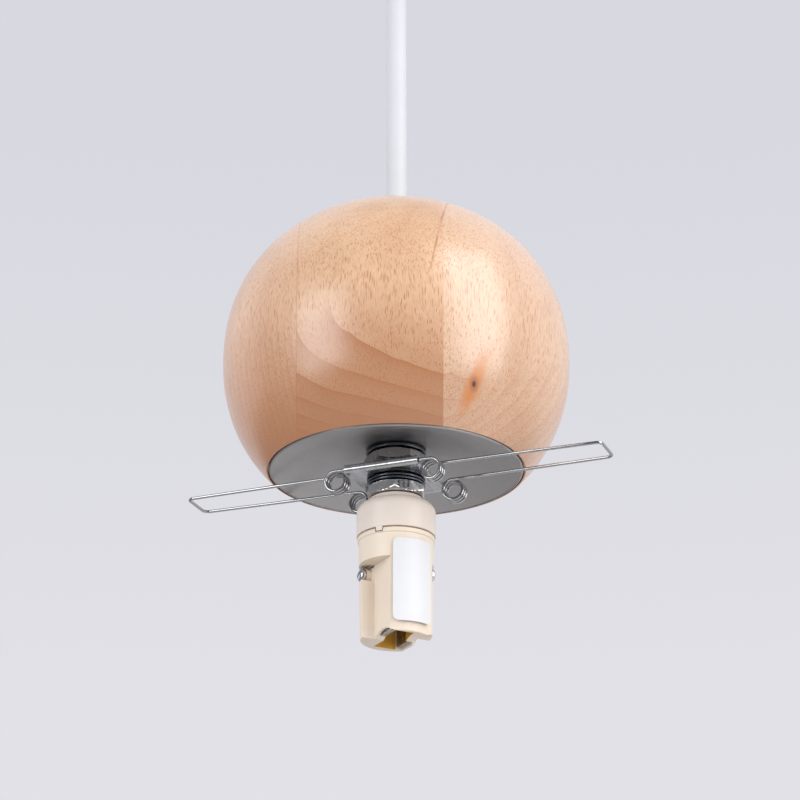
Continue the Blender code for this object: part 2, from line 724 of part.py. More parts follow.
def tail_core(name, side, material):
    """A core from the stripped cord, over to its pole in the terminal block."""
    x = side * CORE_SPACING / 2
    corners = [
        (x, 0, TAIL_TOP_Z + FIT_GAP),
        (x, 0, BLOCK_MIDDLE_Z),
        (side * POLE_PLACE, BLOCK_FACE_Y / 2, BLOCK_MIDDLE_Z),
        (side * POLE_PLACE, BLOCK_FACE_Y + BLOCK_HOLE_DEPTH - FIT_GAP, BLOCK_MIDDLE_Z),
    ]
    route = smooth_route(corners, TAIL_BEND_RADIUS, 3)
    return dressed(tube_of(name, route, CORE_DIAMETER / 2), material)


# Cord


def cord():
    return dressed(domed_cord("cord", BALL_TOP_Z, GRIP_MOUTH_Z), WHITE_SHEATH)


CORD_CUT_Z = TUBE_TOP_Z + FIT_GAP


def cord_inner():
    """The sheathed cord through the ball, as far as the clamp."""
    top = BALL_TOP_Z - CORD_RADIUS - FIT_GAP
    inner = tube_of("cord_inner", [(0, 0, CORD_CUT_Z), (0, 0, top)], CORD_RADIUS, resolution=3)
    return dressed(inner, WHITE_SHEATH)


# Ball and what it holds inside


def wood_ball():
    """The turned ball: cord hole, clamp bore, chamber and the disc's recess, in one profile."""
    mouth = CORD_BORE_RADIUS + CORD_HOLE_CHAMFER
    foot = at_height(BALL_FOOT_DROP)
    top_turn = math.acos((mouth / BALL_RADIUS) ** (BALL_SQUARENESS_SHARE / 2))
    foot_share = BALL_FOOT_DROP / BALL_HALF_HEIGHT
    foot_turn = -math.asin(foot_share ** (BALL_SQUARENESS_SHARE / 2))
    exponent = 2 / BALL_SQUARENESS_SHARE
    outer = []
    for i in range(BALL_PROFILE_POINTS + 1):
        turn = top_turn + (foot_turn - top_turn) * i / BALL_PROFILE_POINTS
        radius = BALL_RADIUS * math.cos(turn) ** exponent
        height = math.copysign(BALL_HALF_HEIGHT * abs(math.sin(turn)) ** exponent, turn)
        outer.append((radius, CENTRE_Z + height))
    recess = DISC_RADIUS + DISC_SEAM
    ceiling = at_height(CHAMBER_CEILING_DROP)
    bore_roof = CENTRE_Z + CLAMP_BORE_RISE
    inner = [(recess, foot), (recess, dish_height(DISC_RADIUS) + DISC_THICKNESS + FIT_GAP)]
    for i in range(DISH_ROOF_POINTS + 1):
        radius = DISC_RADIUS + (CHAMBER_RADIUS - DISC_RADIUS) * i / DISH_ROOF_POINTS
        inner.append((radius, dish_height(radius) + DISC_THICKNESS + FIT_GAP))
    inner += [
        (CHAMBER_RADIUS, ceiling),
        (CLAMP_BORE_RADIUS, ceiling),
        (CLAMP_BORE_RADIUS, bore_roof),
        (CORD_BORE_RADIUS, bore_roof),
        (CORD_BORE_RADIUS, BALL_TOP_Z - CORD_HOLE_CHAMFER),
    ]
    ball = turned("wood_ball", outer + inner, BALL_STEPS)
    for side in (-1, 1):
        low = (side * ANCHOR_SCREW_PLACE, 0, ceiling - CUT_OVERRUN)
        high = (side * ANCHOR_SCREW_PLACE, 0, ANCHOR_UNDERSIDE_Z + WOOD_SCREW_LENGTH + FIT_GAP)
        cut(ball, rod("wood_screw_hole", WOOD_SCREW_RADIUS + FIT_GAP, low, high, sides=HOLE_SIDES))
    return dressed(ball, BEECH)


def anchor_plate():
    size = (ANCHOR_LENGTH, ANCHOR_WIDTH, ANCHOR_THICKNESS)
    plate = block("anchor_plate", size, (0, 0, ANCHOR_TOP_Z - ANCHOR_THICKNESS / 2))
    low_z = ANCHOR_UNDERSIDE_Z - CUT_OVERRUN
    high_z = ANCHOR_TOP_Z + CUT_OVERRUN
    cut(plate, rod("anchor_bore", THREADED_HOLE_RADIUS, (0, 0, low_z), (0, 0, high_z), TUBE_STEPS))
    for side in (-1, 1):
        x = side * ANCHOR_SCREW_PLACE
        radius = WOOD_SCREW_RADIUS + FIT_GAP
        cut(plate, rod("anchor_hole", radius, (x, 0, low_z), (x, 0, high_z), HOLE_SIDES))
    return dressed(plate, ZINC)


def wood_screw(name, side):
    """A pan-head wood screw up through the anchor plate into the ball."""
    seat = ANCHOR_UNDERSIDE_Z - FIT_GAP
    tip = seat + WOOD_SCREW_LENGTH
    profile = [
        (0, tip),
        (WOOD_SCREW_RADIUS, tip - WOOD_SCREW_POINT),
        (WOOD_SCREW_RADIUS, seat),
    ]
    profile += pan_head(WOOD_SCREW_HEAD_RADIUS, seat, -WOOD_SCREW_HEAD_HEIGHT)[::-1]
    screw = turned(name, profile, SCREW_STEPS, ring=False)
    screw.location = (side * ANCHOR_SCREW_PLACE, 0, 0)
    return dressed(screw, ZINC)


def threaded_tube():
    profile = [
        (TUBE_BORE_RADIUS, TUBE_TOP_Z),
        (TUBE_RADIUS, TUBE_TOP_Z),
        (TUBE_RADIUS, TUBE_FOOT_Z),
        (TUBE_BORE_RADIUS, TUBE_FOOT_Z),
    ]
    return dressed(turned("threaded_tube", profile, TUBE_STEPS), ZINC)


def upper_nut():
    top = ANCHOR_TOP_Z + FIT_GAP + INNER_NUT_HEIGHT
    body = nut("upper_nut", NUT_ACROSS_FLATS, top, INNER_NUT_HEIGHT, 0, THREADED_HOLE_RADIUS)
    return dressed(body, ZINC)


def jam_nut():
    top = ANCHOR_UNDERSIDE_Z - FIT_GAP
    body = nut("jam_nut", NUT_ACROSS_FLATS, top, INNER_NUT_HEIGHT, 0, THREADED_HOLE_RADIUS)
    return dressed(body, ZINC)


def cord_clamp():
    """A moulded clamp screwed on the tube's top end, bored for the sheathed cord."""
    top = CENTRE_Z + CLAMP_TOP_RISE
    skirt = at_height(CLAMP_SKIRT_DROP)
    roof = TUBE_TOP_Z + FIT_GAP
    profile = [
        (CORD_BORE_RADIUS, top),
        (CLAMP_RADIUS, top),
        (CLAMP_RADIUS, skirt),
        (THREADED_HOLE_RADIUS, skirt),
        (THREADED_HOLE_RADIUS, roof),
        (CORD_BORE_RADIUS, roof),
    ]
    clamp = turned("cord_clamp", profile, NUT_STEPS)
    height = CENTRE_Z + CLAMP_SCREW_RISE
    end = (0, CLAMP_RADIUS + CUT_OVERRUN, height)
    cut(clamp, rod("clamp_hole", CLAMP_SCREW_RADIUS + FIT_GAP, (0, 0, height), end, sides=HOLE_SIDES))
    return dressed(clamp, CLEAR_NYLON)


def clamp_screw():
    height = CENTRE_Z + CLAMP_SCREW_RISE
    start = (0, CORD_RADIUS + FIT_GAP, height)
    end = (0, CLAMP_RADIUS + CLAMP_SCREW_PROUD, height)
    return dressed(rod("clamp_screw", CLAMP_SCREW_RADIUS, start, end, sides=HOLE_SIDES), ZINC)


# Base disc, bracket, washers and nut


def base_disc():
    """A dished disc of one thickness, flat where the washer bears on it."""
    radii = [THREADED_HOLE_RADIUS]
    for i in range(DISH_POINTS + 1):
        radii.append(DISC_SEAT_RADIUS + (DISC_RADIUS - DISC_SEAT_RADIUS) * i / DISH_POINTS)
    top = [(radius, dish_height(radius) + DISC_THICKNESS) for radius in radii]
    underside = [(radius, dish_height(radius)) for radius in radii[-2::-1]]
    edge = [
        (DISC_RADIUS, DISC_UNDERSIDE_Z + DISC_EDGE_CHAMFER),
        (DISC_RADIUS - DISC_EDGE_CHAMFER, DISC_UNDERSIDE_Z),
    ]
    return dressed(turned("base_disc", top + edge + underside, DISC_STEPS), BRUSHED_STEEL)


def disc_washer():
    profile = [
        (THREADED_HOLE_RADIUS, DISC_WASHER_TOP_Z),
        (DISC_WASHER_RADIUS, DISC_WASHER_TOP_Z),
        (DISC_WASHER_RADIUS, DISC_WASHER_TOP_Z - DISC_WASHER_THICKNESS),
        (THREADED_HOLE_RADIUS, DISC_WASHER_TOP_Z - DISC_WASHER_THICKNESS),
    ]
    return dressed(turned("disc_washer", profile, WASHER_STEPS), DARK_STEEL)


def disc_nut():
    top = DISC_WASHER_TOP_Z - DISC_WASHER_THICKNESS - FIT_GAP
    body = nut(
        "disc_nut",
        NUT_ACROSS_FLATS,
        top,
        DISC_NUT_HEIGHT,
        DISC_NUT_TURN,
        THREADED_HOLE_RADIUS,
    )
    return dressed(body, ZINC)


ROLL_BORE_RADIUS = WIRE_DIAMETER / 2 + FIT_GAP


def bracket_outline():
    """The plate and its two rolled edges, as seen along X: (across, height) pairs."""
    plate_top = PLATE_TOP_Z - ROLL_Z
    plate_low = PLATE_UNDERSIDE_Z - ROLL_Z
    leave_turn = math.asin(plate_low / ROLL_RADIUS)
    lip_turn = math.asin(plate_top / ROLL_BORE_RADIUS) if abs(plate_top) < ROLL_BORE_RADIUS else 0
    half = []
    sweep = 2 * math.pi - (lip_turn - leave_turn) - FIT_GAP / ROLL_BORE_RADIUS
    for i in range(ROLL_POINTS + 1):
        turn = leave_turn - sweep * i / ROLL_POINTS
        half.append((-ROLL_PLACE + ROLL_RADIUS * math.cos(turn), ROLL_RADIUS * math.sin(turn)))
    for i in range(ROLL_POINTS, 0, -1):
        turn = lip_turn - (sweep * i / ROLL_POINTS)
        half.append((-ROLL_PLACE + ROLL_BORE_RADIUS * math.cos(turn), ROLL_BORE_RADIUS * math.sin(turn)))
    half.append((-ROLL_PLACE + ROLL_BORE_RADIUS * math.cos(lip_turn), plate_top))
    return half


def clip_bracket():
    """Plate with both long edges rolled round the clip wires, bored for the threaded tube."""
    half = bracket_outline()
    outline = half + [(-across, height) for across, height in reversed(half)]
    bracket = prism("clip_bracket", outline, BRACKET_LENGTH)
    bracket.location = (0, 0, ROLL_Z)
    bracket.rotation_euler = (math.pi / 2, 0, math.pi / 2)
    low = (0, 0, PLATE_UNDERSIDE_Z - CUT_OVERRUN)
    high = (0, 0, PLATE_TOP_Z + CUT_OVERRUN)
    cut(bracket, rod("bracket_bore", THREADED_HOLE_RADIUS, low, high, sides=TUBE_STEPS))
    return dressed(bracket, ZINC)


def washer(name, top, thickness):
    profile = [
        (THREADED_HOLE_RADIUS, top),
        (WASHER_RADIUS, top),
        (WASHER_RADIUS, top - thickness),
        (THREADED_HOLE_RADIUS, top - thickness),
    ]
    return turned(name, profile, WASHER_STEPS)


def lock_washer():
    """A spring washer, split across one side."""
    ring = washer("lock_washer", LOCK_WASHER_TOP_Z, LOCK_WASHER_THICKNESS)
    middle = (WASHER_RADIUS + THREADED_HOLE_RADIUS) / 2
    turn = LOCK_WASHER_SPLIT_TURN
    place = (middle * math.cos(turn), middle * math.sin(turn), LOCK_WASHER_TOP_Z)
    size = (WASHER_RADIUS, LOCK_WASHER_SPLIT, 2 * CUT_OVERRUN)
    cut(ring, block("washer_split", size, place, (0, 0, turn)))
    return dressed(ring, DARK_STEEL)


def plain_washer():
    return dressed(washer("plain_washer", PLAIN_WASHER_TOP_Z, PLAIN_WASHER_THICKNESS), DARK_STEEL)


def lower_nut():
    body = nut(
        "lower_nut",
        NUT_ACROSS_FLATS,
        LOWER_NUT_TOP_Z,
        LOWER_NUT_HEIGHT,
        LOWER_NUT_TURN,
        THREADED_HOLE_RADIUS,
    )
    return dressed(body, ZINC)


# Sprung wire clips


def coil_point(turn, side, end):
    """A point of the coil: turn 0 is its top, side +1 the right clip, end -1 the front."""
    x = COIL_PLACE + COIL_MEAN_RADIUS * math.sin(turn)
    inward = COIL_PITCH * turn / (2 * math.pi)
    z = COIL_Z + COIL_MEAN_RADIUS * math.cos(turn)
    return Vector((side * x, end * (ROLL_PLACE - inward), z))


def coil_and_span(side, end):
    """From the coil's first point, round its turns and out along the arm to the tip's middle."""
    count = COIL_TURNS * COIL_POINTS_PER_TURN
    start_turn = LEG_START_GAP / COIL_MEAN_RADIUS
    last_turn = 2 * math.pi * COIL_TURNS
    route = []
    for i in range(count + 1):
        route.append(coil_point(start_turn + (last_turn - start_turn) * i / count, side, end))
    coil_out = route[-1]
    tip = Vector((side * ARM_TIP_REACH, end * ARM_TIP_WIDTH / 2, ROLL_Z))
    middle = Vector((side * ARM_TIP_REACH, 0, ROLL_Z))
    corner = smooth_route([coil_out, tip, middle], ARM_CORNER_RADIUS, ARM_CORNER_POINTS)[1:-1]
    for i in range(1, ARM_SPAN_POINTS):
        route.append(coil_out.lerp(corner[0], i / ARM_SPAN_POINTS))
    return route + corner


def least_gap(route, near_points):
    """Smallest distance between the wire's surfaces at points further apart than a few steps."""
    gaps = []
    for i, point in enumerate(route):
        for other in route[i + near_points:]:
            gaps.append((point - other).length - WIRE_DIAMETER)
    return min(gaps)


def clip_arm(name, side):
    """One unbroken wire: a coil, the arm out to its tip and back, and the other coil."""
    front = coil_and_span(side, -1)
    rear = coil_and_span(side, 1)
    gap = least_gap(front, COIL_POINTS_PER_TURN // 2)
    print(name, "least gap of the coil to itself, in metres:", round(gap, 6))
    route = front + rear[::-1]
    return dressed(tube_of(name, route, WIRE_DIAMETER / 2), ZINC)


def clip_leg(name, side, end):
    """The wire's straight leg, held in the rolled edge and ending at the coil's top."""
    start = (side * FIT_GAP, end * ROLL_PLACE, ROLL_Z)
    mouth = (side * BRACKET_LENGTH / 2, end * ROLL_PLACE, ROLL_Z)
    stop = (side * COIL_PLACE, end * ROLL_PLACE, ROLL_Z)
    return dressed(tube_of(name, [start, mouth, stop], WIRE_DIAMETER / 2), ZINC)


# Lampholder


def holder_place(along, across, height):
    """A point in the holder's own axes: along its lamp slot, across it, and up."""
    cosine = math.cos(HOLDER_TURN)
    sine = math.sin(HOLDER_TURN)
    return Vector((along * cosine - across * sine, along * sine + across * cosine, height))


def holder_block(name, along, across, heights):
    """A box between two values on each of the holder's axes."""
    size = (along[1] - along[0], across[1] - across[0], heights[1] - heights[0])
    middle = holder_place(sum(along) / 2, sum(across) / 2, sum(heights) / 2)
    return block(name, size, middle, (0, 0, HOLDER_TURN))


def paired(side, low, high):
    """The two ends of a stretch, on either side of the holder's half-turn symmetry."""
    return (low, high) if side > 0 else (-high, -low)


def holder_cap():
    """Screwed on the threaded tube: neck, rounded shoulder, skirt, and a tooth in its rim."""
    shoulder = CAP_TOP_Z - CAP_NECK_HEIGHT
    inner = CAP_RADIUS - CAP_WALL
    profile = [
        (THREADED_HOLE_RADIUS, CAP_TOP_Z),
        (CAP_NECK_RADIUS, CAP_TOP_Z),
        (CAP_NECK_RADIUS, shoulder),
        ((CAP_NECK_RADIUS + CAP_SHOULDER_RADIUS * 2) / 3, shoulder - CAP_SHOULDER_DROP / 4),
        (CAP_SHOULDER_RADIUS, shoulder - CAP_SHOULDER_DROP / 2),
        ((CAP_SHOULDER_RADIUS + CAP_RADIUS * 2) / 3, shoulder - CAP_SHOULDER_DROP),
        (CAP_RADIUS, shoulder - CAP_CORNER_DROP),
        (CAP_RADIUS, CAP_FOOT_Z),
        (inner, CAP_FOOT_Z),
        (inner, CAP_TOP_Z - CAP_ROOF_THICKNESS),
        (THREADED_HOLE_RADIUS, CAP_TOP_Z - CAP_ROOF_THICKNESS),
    ]
    cap = turned("holder_cap", profile, HOLDER_STEPS)
    tooth_reach = (CAP_RADIUS - CAP_WALL / 2) * math.cos(math.pi / HOLDER_STEPS)
    turn = CAP_TOOTH_TURN
    depth = CAP_WALL / 2
    height = CAP_TOOTH_DROP + CAP_WALL
    place = (
        tooth_reach * math.cos(turn),
        tooth_reach * math.sin(turn),
        CAP_FOOT_Z - CAP_TOOTH_DROP + height / 2,
    )
    cut(cap, block("cap_tooth", (depth, CAP_TOOTH_WIDTH, height), place, (0, 0, turn)), "UNION")
    return dressed(cap, CREAM_RESIN)


def holder_body():
    """Spigot, collar and round body, cut by two pockets, the lamp slot and the wire ways."""
    spigot = CAP_RADIUS - CAP_WALL - FIT_GAP
    spigot_top = at_height(SPIGOT_TOP_DROP)
    collar_foot = COLLAR_TOP_Z - COLLAR_HEIGHT
    profile = [
        (0, spigot_top),
        (spigot, spigot_top),
        (spigot, COLLAR_TOP_Z),
        (COLLAR_RADIUS, COLLAR_TOP_Z),
        (COLLAR_RADIUS, collar_foot),
        (BODY_RADIUS, collar_foot),
        (BODY_FOOT_RADIUS, BODY_FOOT_Z),
        (0, BODY_FOOT_Z),
    ]
    body = turned("holder_body", profile, HOLDER_STEPS, ring=False)
    turn = CAP_TOOTH_TURN
    notch_place = (
        CAP_RADIUS * math.cos(turn),
        CAP_RADIUS * math.sin(turn),
        COLLAR_TOP_Z,
    )
    notch_size = (2 * CAP_WALL + 2 * FIT_GAP, CAP_TOOTH_WIDTH + 2 * FIT_GAP, 2 * CAP_TOOTH_DROP)
    cut(body, block("collar_notch", notch_size, notch_place, (0, 0, turn)))
    ledge = at_height(POCKET_LEDGE_DROP)
    below = BODY_FOOT_Z - CUT_OVERRUN
    beyond = BODY_RADIUS + CUT_OVERRUN
    screw_z = at_height(SIDE_SCREW_DROP)
    for side in (-1, 1):
        cut(
            body,
            holder_block(
                "pocket",
                paired(side, -beyond, POCKET_LIP),
                paired(side, POCKET_FACE, beyond),
                (below, ledge),
            ),
        )
        cut(
            body,
            holder_block(
                "screw_notch",
                paired(side, 0, SCREW_NOTCH_END),
                paired(side, POCKET_FACE + SCREW_NOTCH_SET_BACK, beyond),
                (screw_z - SCREW_NOTCH_DROP, ledge - SCREW_NOTCH_SET_BACK),
            ),
        )
        along = side * SIDE_SCREW_PLACE
        boss_root = holder_place(along, side * (POCKET_FACE - BOSS_LENGTH / 2), screw_z)
        boss_end = holder_place(along, side * (POCKET_FACE + BOSS_LENGTH), screw_z)
        cut(body, rod("screw_boss", BOSS_RADIUS, boss_root, boss_end, sides=HEAD_STEPS), "UNION")
    slot_roof = BODY_FOOT_Z + SLOT_DEPTH
    cut(
        body,
        holder_block(
            "lamp_slot",
            (-SLOT_HALF_LENGTH, SLOT_HALF_LENGTH),
            (-SLOT_HALF_WIDTH, SLOT_HALF_WIDTH),
            (below, slot_roof),
        ),
    )
    scoop_z = BODY_FOOT_Z + SCOOP_RISE - SCOOP_RADIUS
    scoop_ends = [holder_place(SCOOP_PLACE, end, scoop_z) for end in (-beyond, beyond)]
    cut(body, rod("scoop", SCOOP_RADIUS, *scoop_ends, sides=SCOOP_SIDES))
    pad_top = BODY_FOOT_Z + CONTACT_FOOT_RISE + CONTACT_PAD_HEIGHT
    for side in (-1, 1):
        cut(
            body,
            holder_block(
                "contact_niche",
                paired(side, CONTACT_NEAR - FIT_GAP, CONTACT_FAR + FIT_GAP),
                paired(side, SLOT_HALF_WIDTH - FIT_GAP, CONTACT_OUTER_FACE + FIT_GAP),
                (below, pad_top + FIT_GAP),
            ),
        )
        cut(
            body,
            holder_block(
                "tongue_way",
                paired(side, TONGUE_NEAR - FIT_GAP, TONGUE_FAR + FIT_GAP),
                paired(
                    side,
                    CONTACT_OUTER_FACE - TONGUE_THICKNESS - FIT_GAP,
                    CONTACT_OUTER_FACE + FIT_GAP,
                ),
                (pad_top - FIT_GAP, at_height(TONGUE_TOP_DROP) + FIT_GAP),
            ),
        )
        cut(
            body,
            holder_block(
                "bridge_way",
                paired(side, CONTACT_FAR - CONTACT_BRIDGE_GAP, TONGUE_FAR + CONTACT_BRIDGE_GAP),
                paired(
                    side,
                    CONTACT_OUTER_FACE - TONGUE_THICKNESS - CONTACT_BRIDGE_GAP,
                    CONTACT_OUTER_FACE + CONTACT_BRIDGE_GAP,
                ),
                (
                    pad_top - CONTACT_BRIDGE_HEIGHT - CONTACT_BRIDGE_GAP,
                    pad_top + CONTACT_BRIDGE_GAP,
                ),
            ),
        )
        bore_start = holder_place(side * SIDE_SCREW_PLACE, side * CONTACT_OUTER_FACE, screw_z)
        bore_end = holder_place(side * SIDE_SCREW_PLACE, side * beyond, screw_z)
        radius = SIDE_SCREW_RADIUS + FIT_GAP
        cut(body, rod("side_screw_bore", radius, bore_start, bore_end, sides=HOLE_SIDES))
        way = side * BARREL_PLACE_ALONG, side * BARREL_PLACE_ACROSS
        way_foot = holder_place(*way, ledge - CUT_OVERRUN / 4)
        way_top = holder_place(*way, spigot_top + CUT_OVERRUN)
        cut(body, rod("barrel_way", BARREL_RADIUS + FIT_GAP, way_foot, way_top, sides=WAY_SIDES))
    return dressed(body, CREAM_RESIN)


def contact(name, side):
    """A spring contact: a pad beside the slot, a bridge along it and a tongue to its terminal."""
    foot = BODY_FOOT_Z + CONTACT_FOOT_RISE
    pad_top = foot + CONTACT_PAD_HEIGHT
    pad = holder_block(
        name,
        paired(side, CONTACT_NEAR, CONTACT_FAR),
        paired(side, CONTACT_INNER_FACE, CONTACT_OUTER_FACE),
        (foot, pad_top),
    )
    tongue = holder_block(
        name + "_tongue",
        paired(side, TONGUE_NEAR, TONGUE_FAR),
        paired(side, CONTACT_OUTER_FACE - TONGUE_THICKNESS, CONTACT_OUTER_FACE),
        (pad_top - CONTACT_BRIDGE_HEIGHT / 2, at_height(TONGUE_TOP_DROP)),
    )
    bridge_outer = CONTACT_OUTER_FACE - BRIDGE_SET_BACK
    bridge = holder_block(
        name + "_bridge",
        paired(side, CONTACT_FAR - TONGUE_THICKNESS, TONGUE_FAR - BRIDGE_SET_BACK),
        paired(side, bridge_outer - TONGUE_THICKNESS, bridge_outer),
        (pad_top - CONTACT_BRIDGE_HEIGHT, pad_top - BRIDGE_SET_BACK),
    )
    cut(pad, bridge, "UNION")
    cut(pad, tongue, "UNION")
    return dressed(pad, CONTACT_NICKEL)


def side_screw(name, side):
    """A pan-head terminal screw across the body, its tip against the contact's tongue."""
    height = at_height(SIDE_SCREW_DROP)
    seat = POCKET_FACE + BOSS_LENGTH + FIT_GAP
    tip = CONTACT_OUTER_FACE + FIT_GAP
    profile = pan_head(SIDE_SCREW_HEAD_RADIUS, seat, SIDE_SCREW_HEAD_HEIGHT)
    profile += [
        (SIDE_SCREW_RADIUS, seat),
        (SIDE_SCREW_RADIUS, tip),
        (0, tip),
    ]
    screw = turned(name, profile, HEAD_STEPS, ring=False)
    screw.location = holder_place(side * SIDE_SCREW_PLACE, 0, height)
    across = holder_place(0, side, 0)
    screw.rotation_euler = across.to_track_quat("Z", "Y").to_euler()
    return dressed(screw, ZINC)


BARREL_FOOT_Z = at_height(POCKET_LEDGE_DROP) - BARREL_PROUD


def barrel(name, side):
    """A terminal barrel, its lower end just proud of the pocket's ledge."""
    way = side * BARREL_PLACE_ALONG, side * BARREL_PLACE_ACROSS
    start = holder_place(*way, BARREL_FOOT_Z)
    end = holder_place(*way, BARREL_FOOT_Z + BARREL_LENGTH)
    return dressed(rod(name, BARREL_RADIUS, start, end, sides=WAY_SIDES), CONTACT_NICKEL)


def core(name, side, material):
    """A core from the cord's end, down the threaded tube and over to its barrel."""
    way = side * BARREL_PLACE_ALONG, side * BARREL_PLACE_ACROSS
    reach = math.hypot(*way)
    near_share = (CORE_SPACING / 2) / reach
    near = way[0] * near_share, way[1] * near_share
    turn_height = (TUBE_FOOT_Z + at_height(SPIGOT_TOP_DROP)) / 2
    corners = [
        holder_place(*near, TUBE_TOP_Z),
        holder_place(*near, turn_height),
        holder_place(*way, turn_height),
        holder_place(*way, BARREL_FOOT_Z + BARREL_LENGTH + FIT_GAP),
    ]
    route = smooth_route(corners, CORE_DIAMETER, 4)
    return dressed(tube_of(name, route, CORE_DIAMETER / 2), material)


def rating_label():
    """The bare label: part of a turned sleeve, given its thickness outwards."""
    inner = BODY_RADIUS + FIT_GAP
    profile = [(inner, at_height(LABEL_TOP_DROP)), (inner, at_height(LABEL_FOOT_DROP))]
    label = turned(
        "rating_label",
        profile,
        LABEL_STEPS,
        ring=False,
        angle=LABEL_SWEEP,
        axis_angle=LABEL_START,
    )
    wall = label.modifiers.new("thickness", "SOLIDIFY")
    wall.thickness = LABEL_THICKNESS
    wall.offset = 1
    return dressed(label, BLANK_LABEL)


def build():
    rose_cup()
    ceiling_strap()
    rose_screw("rose_screw_left", -1)
    rose_screw("rose_screw_right", 1)
    cord_grip()
    grip_screw()
    grip_nut()
    cord_tail()
    terminal_block()
    block_screw()
    pole_screw("pole_screw_live", 1)
    pole_screw("pole_screw_neutral", -1)
    tail_core("tail_core_live", 1, BROWN_CORE)
    tail_core("tail_core_neutral", -1, BLUE_CORE)
    cord()
    cord_inner()
    wood_ball()
    anchor_plate()
    wood_screw("wood_screw_left", -1)
    wood_screw("wood_screw_right", 1)
    threaded_tube()
    upper_nut()
    jam_nut()
    cord_clamp()
    clamp_screw()
    base_disc()
    disc_washer()
    disc_nut()
    clip_bracket()
    lock_washer()
    plain_washer()
    lower_nut()
    clip_arm("right_clip_arm", 1)
    clip_arm("left_clip_arm", -1)
    clip_leg("right_leg_front", 1, -1)
    clip_leg("right_leg_rear", 1, 1)
    clip_leg("left_leg_front", -1, -1)
    clip_leg("left_leg_rear", -1, 1)
    holder_cap()
    holder_body()
    contact("contact_live", 1)
    contact("contact_neutral", -1)
    side_screw("side_screw_live", 1)
    side_screw("side_screw_neutral", -1)
    barrel("barrel_live", 1)
    barrel("barrel_neutral", -1)
    core("core_live", 1, BROWN_CORE)
    core("core_neutral", -1, BLUE_CORE)
    rating_label()


build()
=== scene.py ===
import json
import math

import bmesh
import bpy
import numpy as np
from bpy.props import FloatProperty, FloatVectorProperty, IntProperty, PointerProperty
from mathutils import Euler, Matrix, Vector


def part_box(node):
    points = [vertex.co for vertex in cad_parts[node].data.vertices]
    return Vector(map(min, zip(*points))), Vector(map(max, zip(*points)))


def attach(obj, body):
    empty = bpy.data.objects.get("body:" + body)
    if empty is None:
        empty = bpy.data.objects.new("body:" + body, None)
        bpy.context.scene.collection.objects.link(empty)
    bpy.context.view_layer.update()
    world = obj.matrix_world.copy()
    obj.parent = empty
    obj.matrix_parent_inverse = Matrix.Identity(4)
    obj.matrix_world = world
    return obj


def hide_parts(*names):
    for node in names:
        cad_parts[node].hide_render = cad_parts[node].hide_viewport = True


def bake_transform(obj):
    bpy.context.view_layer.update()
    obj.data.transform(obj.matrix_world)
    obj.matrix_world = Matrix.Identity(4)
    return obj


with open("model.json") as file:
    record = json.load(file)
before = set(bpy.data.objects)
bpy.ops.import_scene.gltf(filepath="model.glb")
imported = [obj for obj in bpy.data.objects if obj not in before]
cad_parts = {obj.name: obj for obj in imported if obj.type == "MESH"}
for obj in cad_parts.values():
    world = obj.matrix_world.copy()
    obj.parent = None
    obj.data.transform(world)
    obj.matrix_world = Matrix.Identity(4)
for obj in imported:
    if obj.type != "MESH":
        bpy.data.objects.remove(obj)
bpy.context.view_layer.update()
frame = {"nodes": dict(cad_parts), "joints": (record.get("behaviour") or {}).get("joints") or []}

bl_info = {
    "name": "Pendant Light Finish",
    "version": (1, 0, 0),
    "blender": (4, 5, 0),
    "location": "3D View > Sidebar > Pendant",
    "description": "Dresses a framed pendant light: beech ball, wire shade clips, lampholder and cord",
    "category": "Object",
}

# Shared making values, in metres and radians
WELD_DISTANCE = 1e-7
SHARP_ANGLE = math.radians(32)
ARC_STEPS = 6
FIT_GAP = 0.0003
OVERRUN = 0.002
FULL_TURN = 2 * math.pi
THREADED_HOLE = 0.0053
BORE_GAP = 0.0004
HOLE_SIDES = 32


def extent(node):
    """Lowest and highest corner of a framed node."""
    low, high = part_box(node)
    return np.array(low, float), np.array(high, float)


def farthest_angle(node):
    """Angle about the lamp's axis of the node's vertex that lies farthest from it."""
    mesh = frame["nodes"][node].data
    places = np.empty(len(mesh.vertices) * 3)
    mesh.vertices.foreach_get("co", places)
    places = places.reshape(-1, 3)
    far = places[np.argmax(np.hypot(places[:, 0], places[:, 1]))]
    return math.atan2(far[1], far[0])


def joint_place(name):
    """Where a joint's axis passes, from the record."""
    for joint in frame["joints"]:
        if joint["name"] == name:
            return np.array(joint["pos_m"], float)
    raise RuntimeError("the frame has no joint named " + name)


# Heights and radii that the frame gives
CORD_TOP = joint_place("cord_swing")
CORD_FOOT = joint_place("lamp_tilt")
CORD_RADIUS = extent("cord")[1][0]
ROLL_LOW, ROLL_HIGH = extent("clip_bracket")
ROLL_Z = (ROLL_LOW[2] + ROLL_HIGH[2]) / 2
ROLL_RADIUS = (ROLL_HIGH[2] - ROLL_LOW[2]) / 2
ROLL_PLACE = ROLL_HIGH[1] - ROLL_RADIUS
HOLDER_FOOT_Z = extent("holder_body")[0][2]
CAP_LOW, CAP_HIGH = extent("holder_cap")


# Settings that a user would change


def length(name, default, description):
    """A length in metres, shown in the scene's unit."""
    return FloatProperty(
        name=name, description=description, default=default, min=0.0, precision=5, unit="LENGTH"
    )


def angle(name, default, description):
    """An angle in degrees in the source, kept in radians."""
    return FloatProperty(
        name=name, description=description, default=math.radians(default), subtype="ANGLE"
    )


def colour(name, default, description):
    """A linear colour."""
    return FloatVectorProperty(
        name=name, description=description, default=default, size=3, min=0.0, max=1.0, subtype="COLOR"
    )


def count(name, default, description):
    """A whole number of turns, steps or ribs."""
    return IntProperty(name=name, description=description, default=default, min=1)


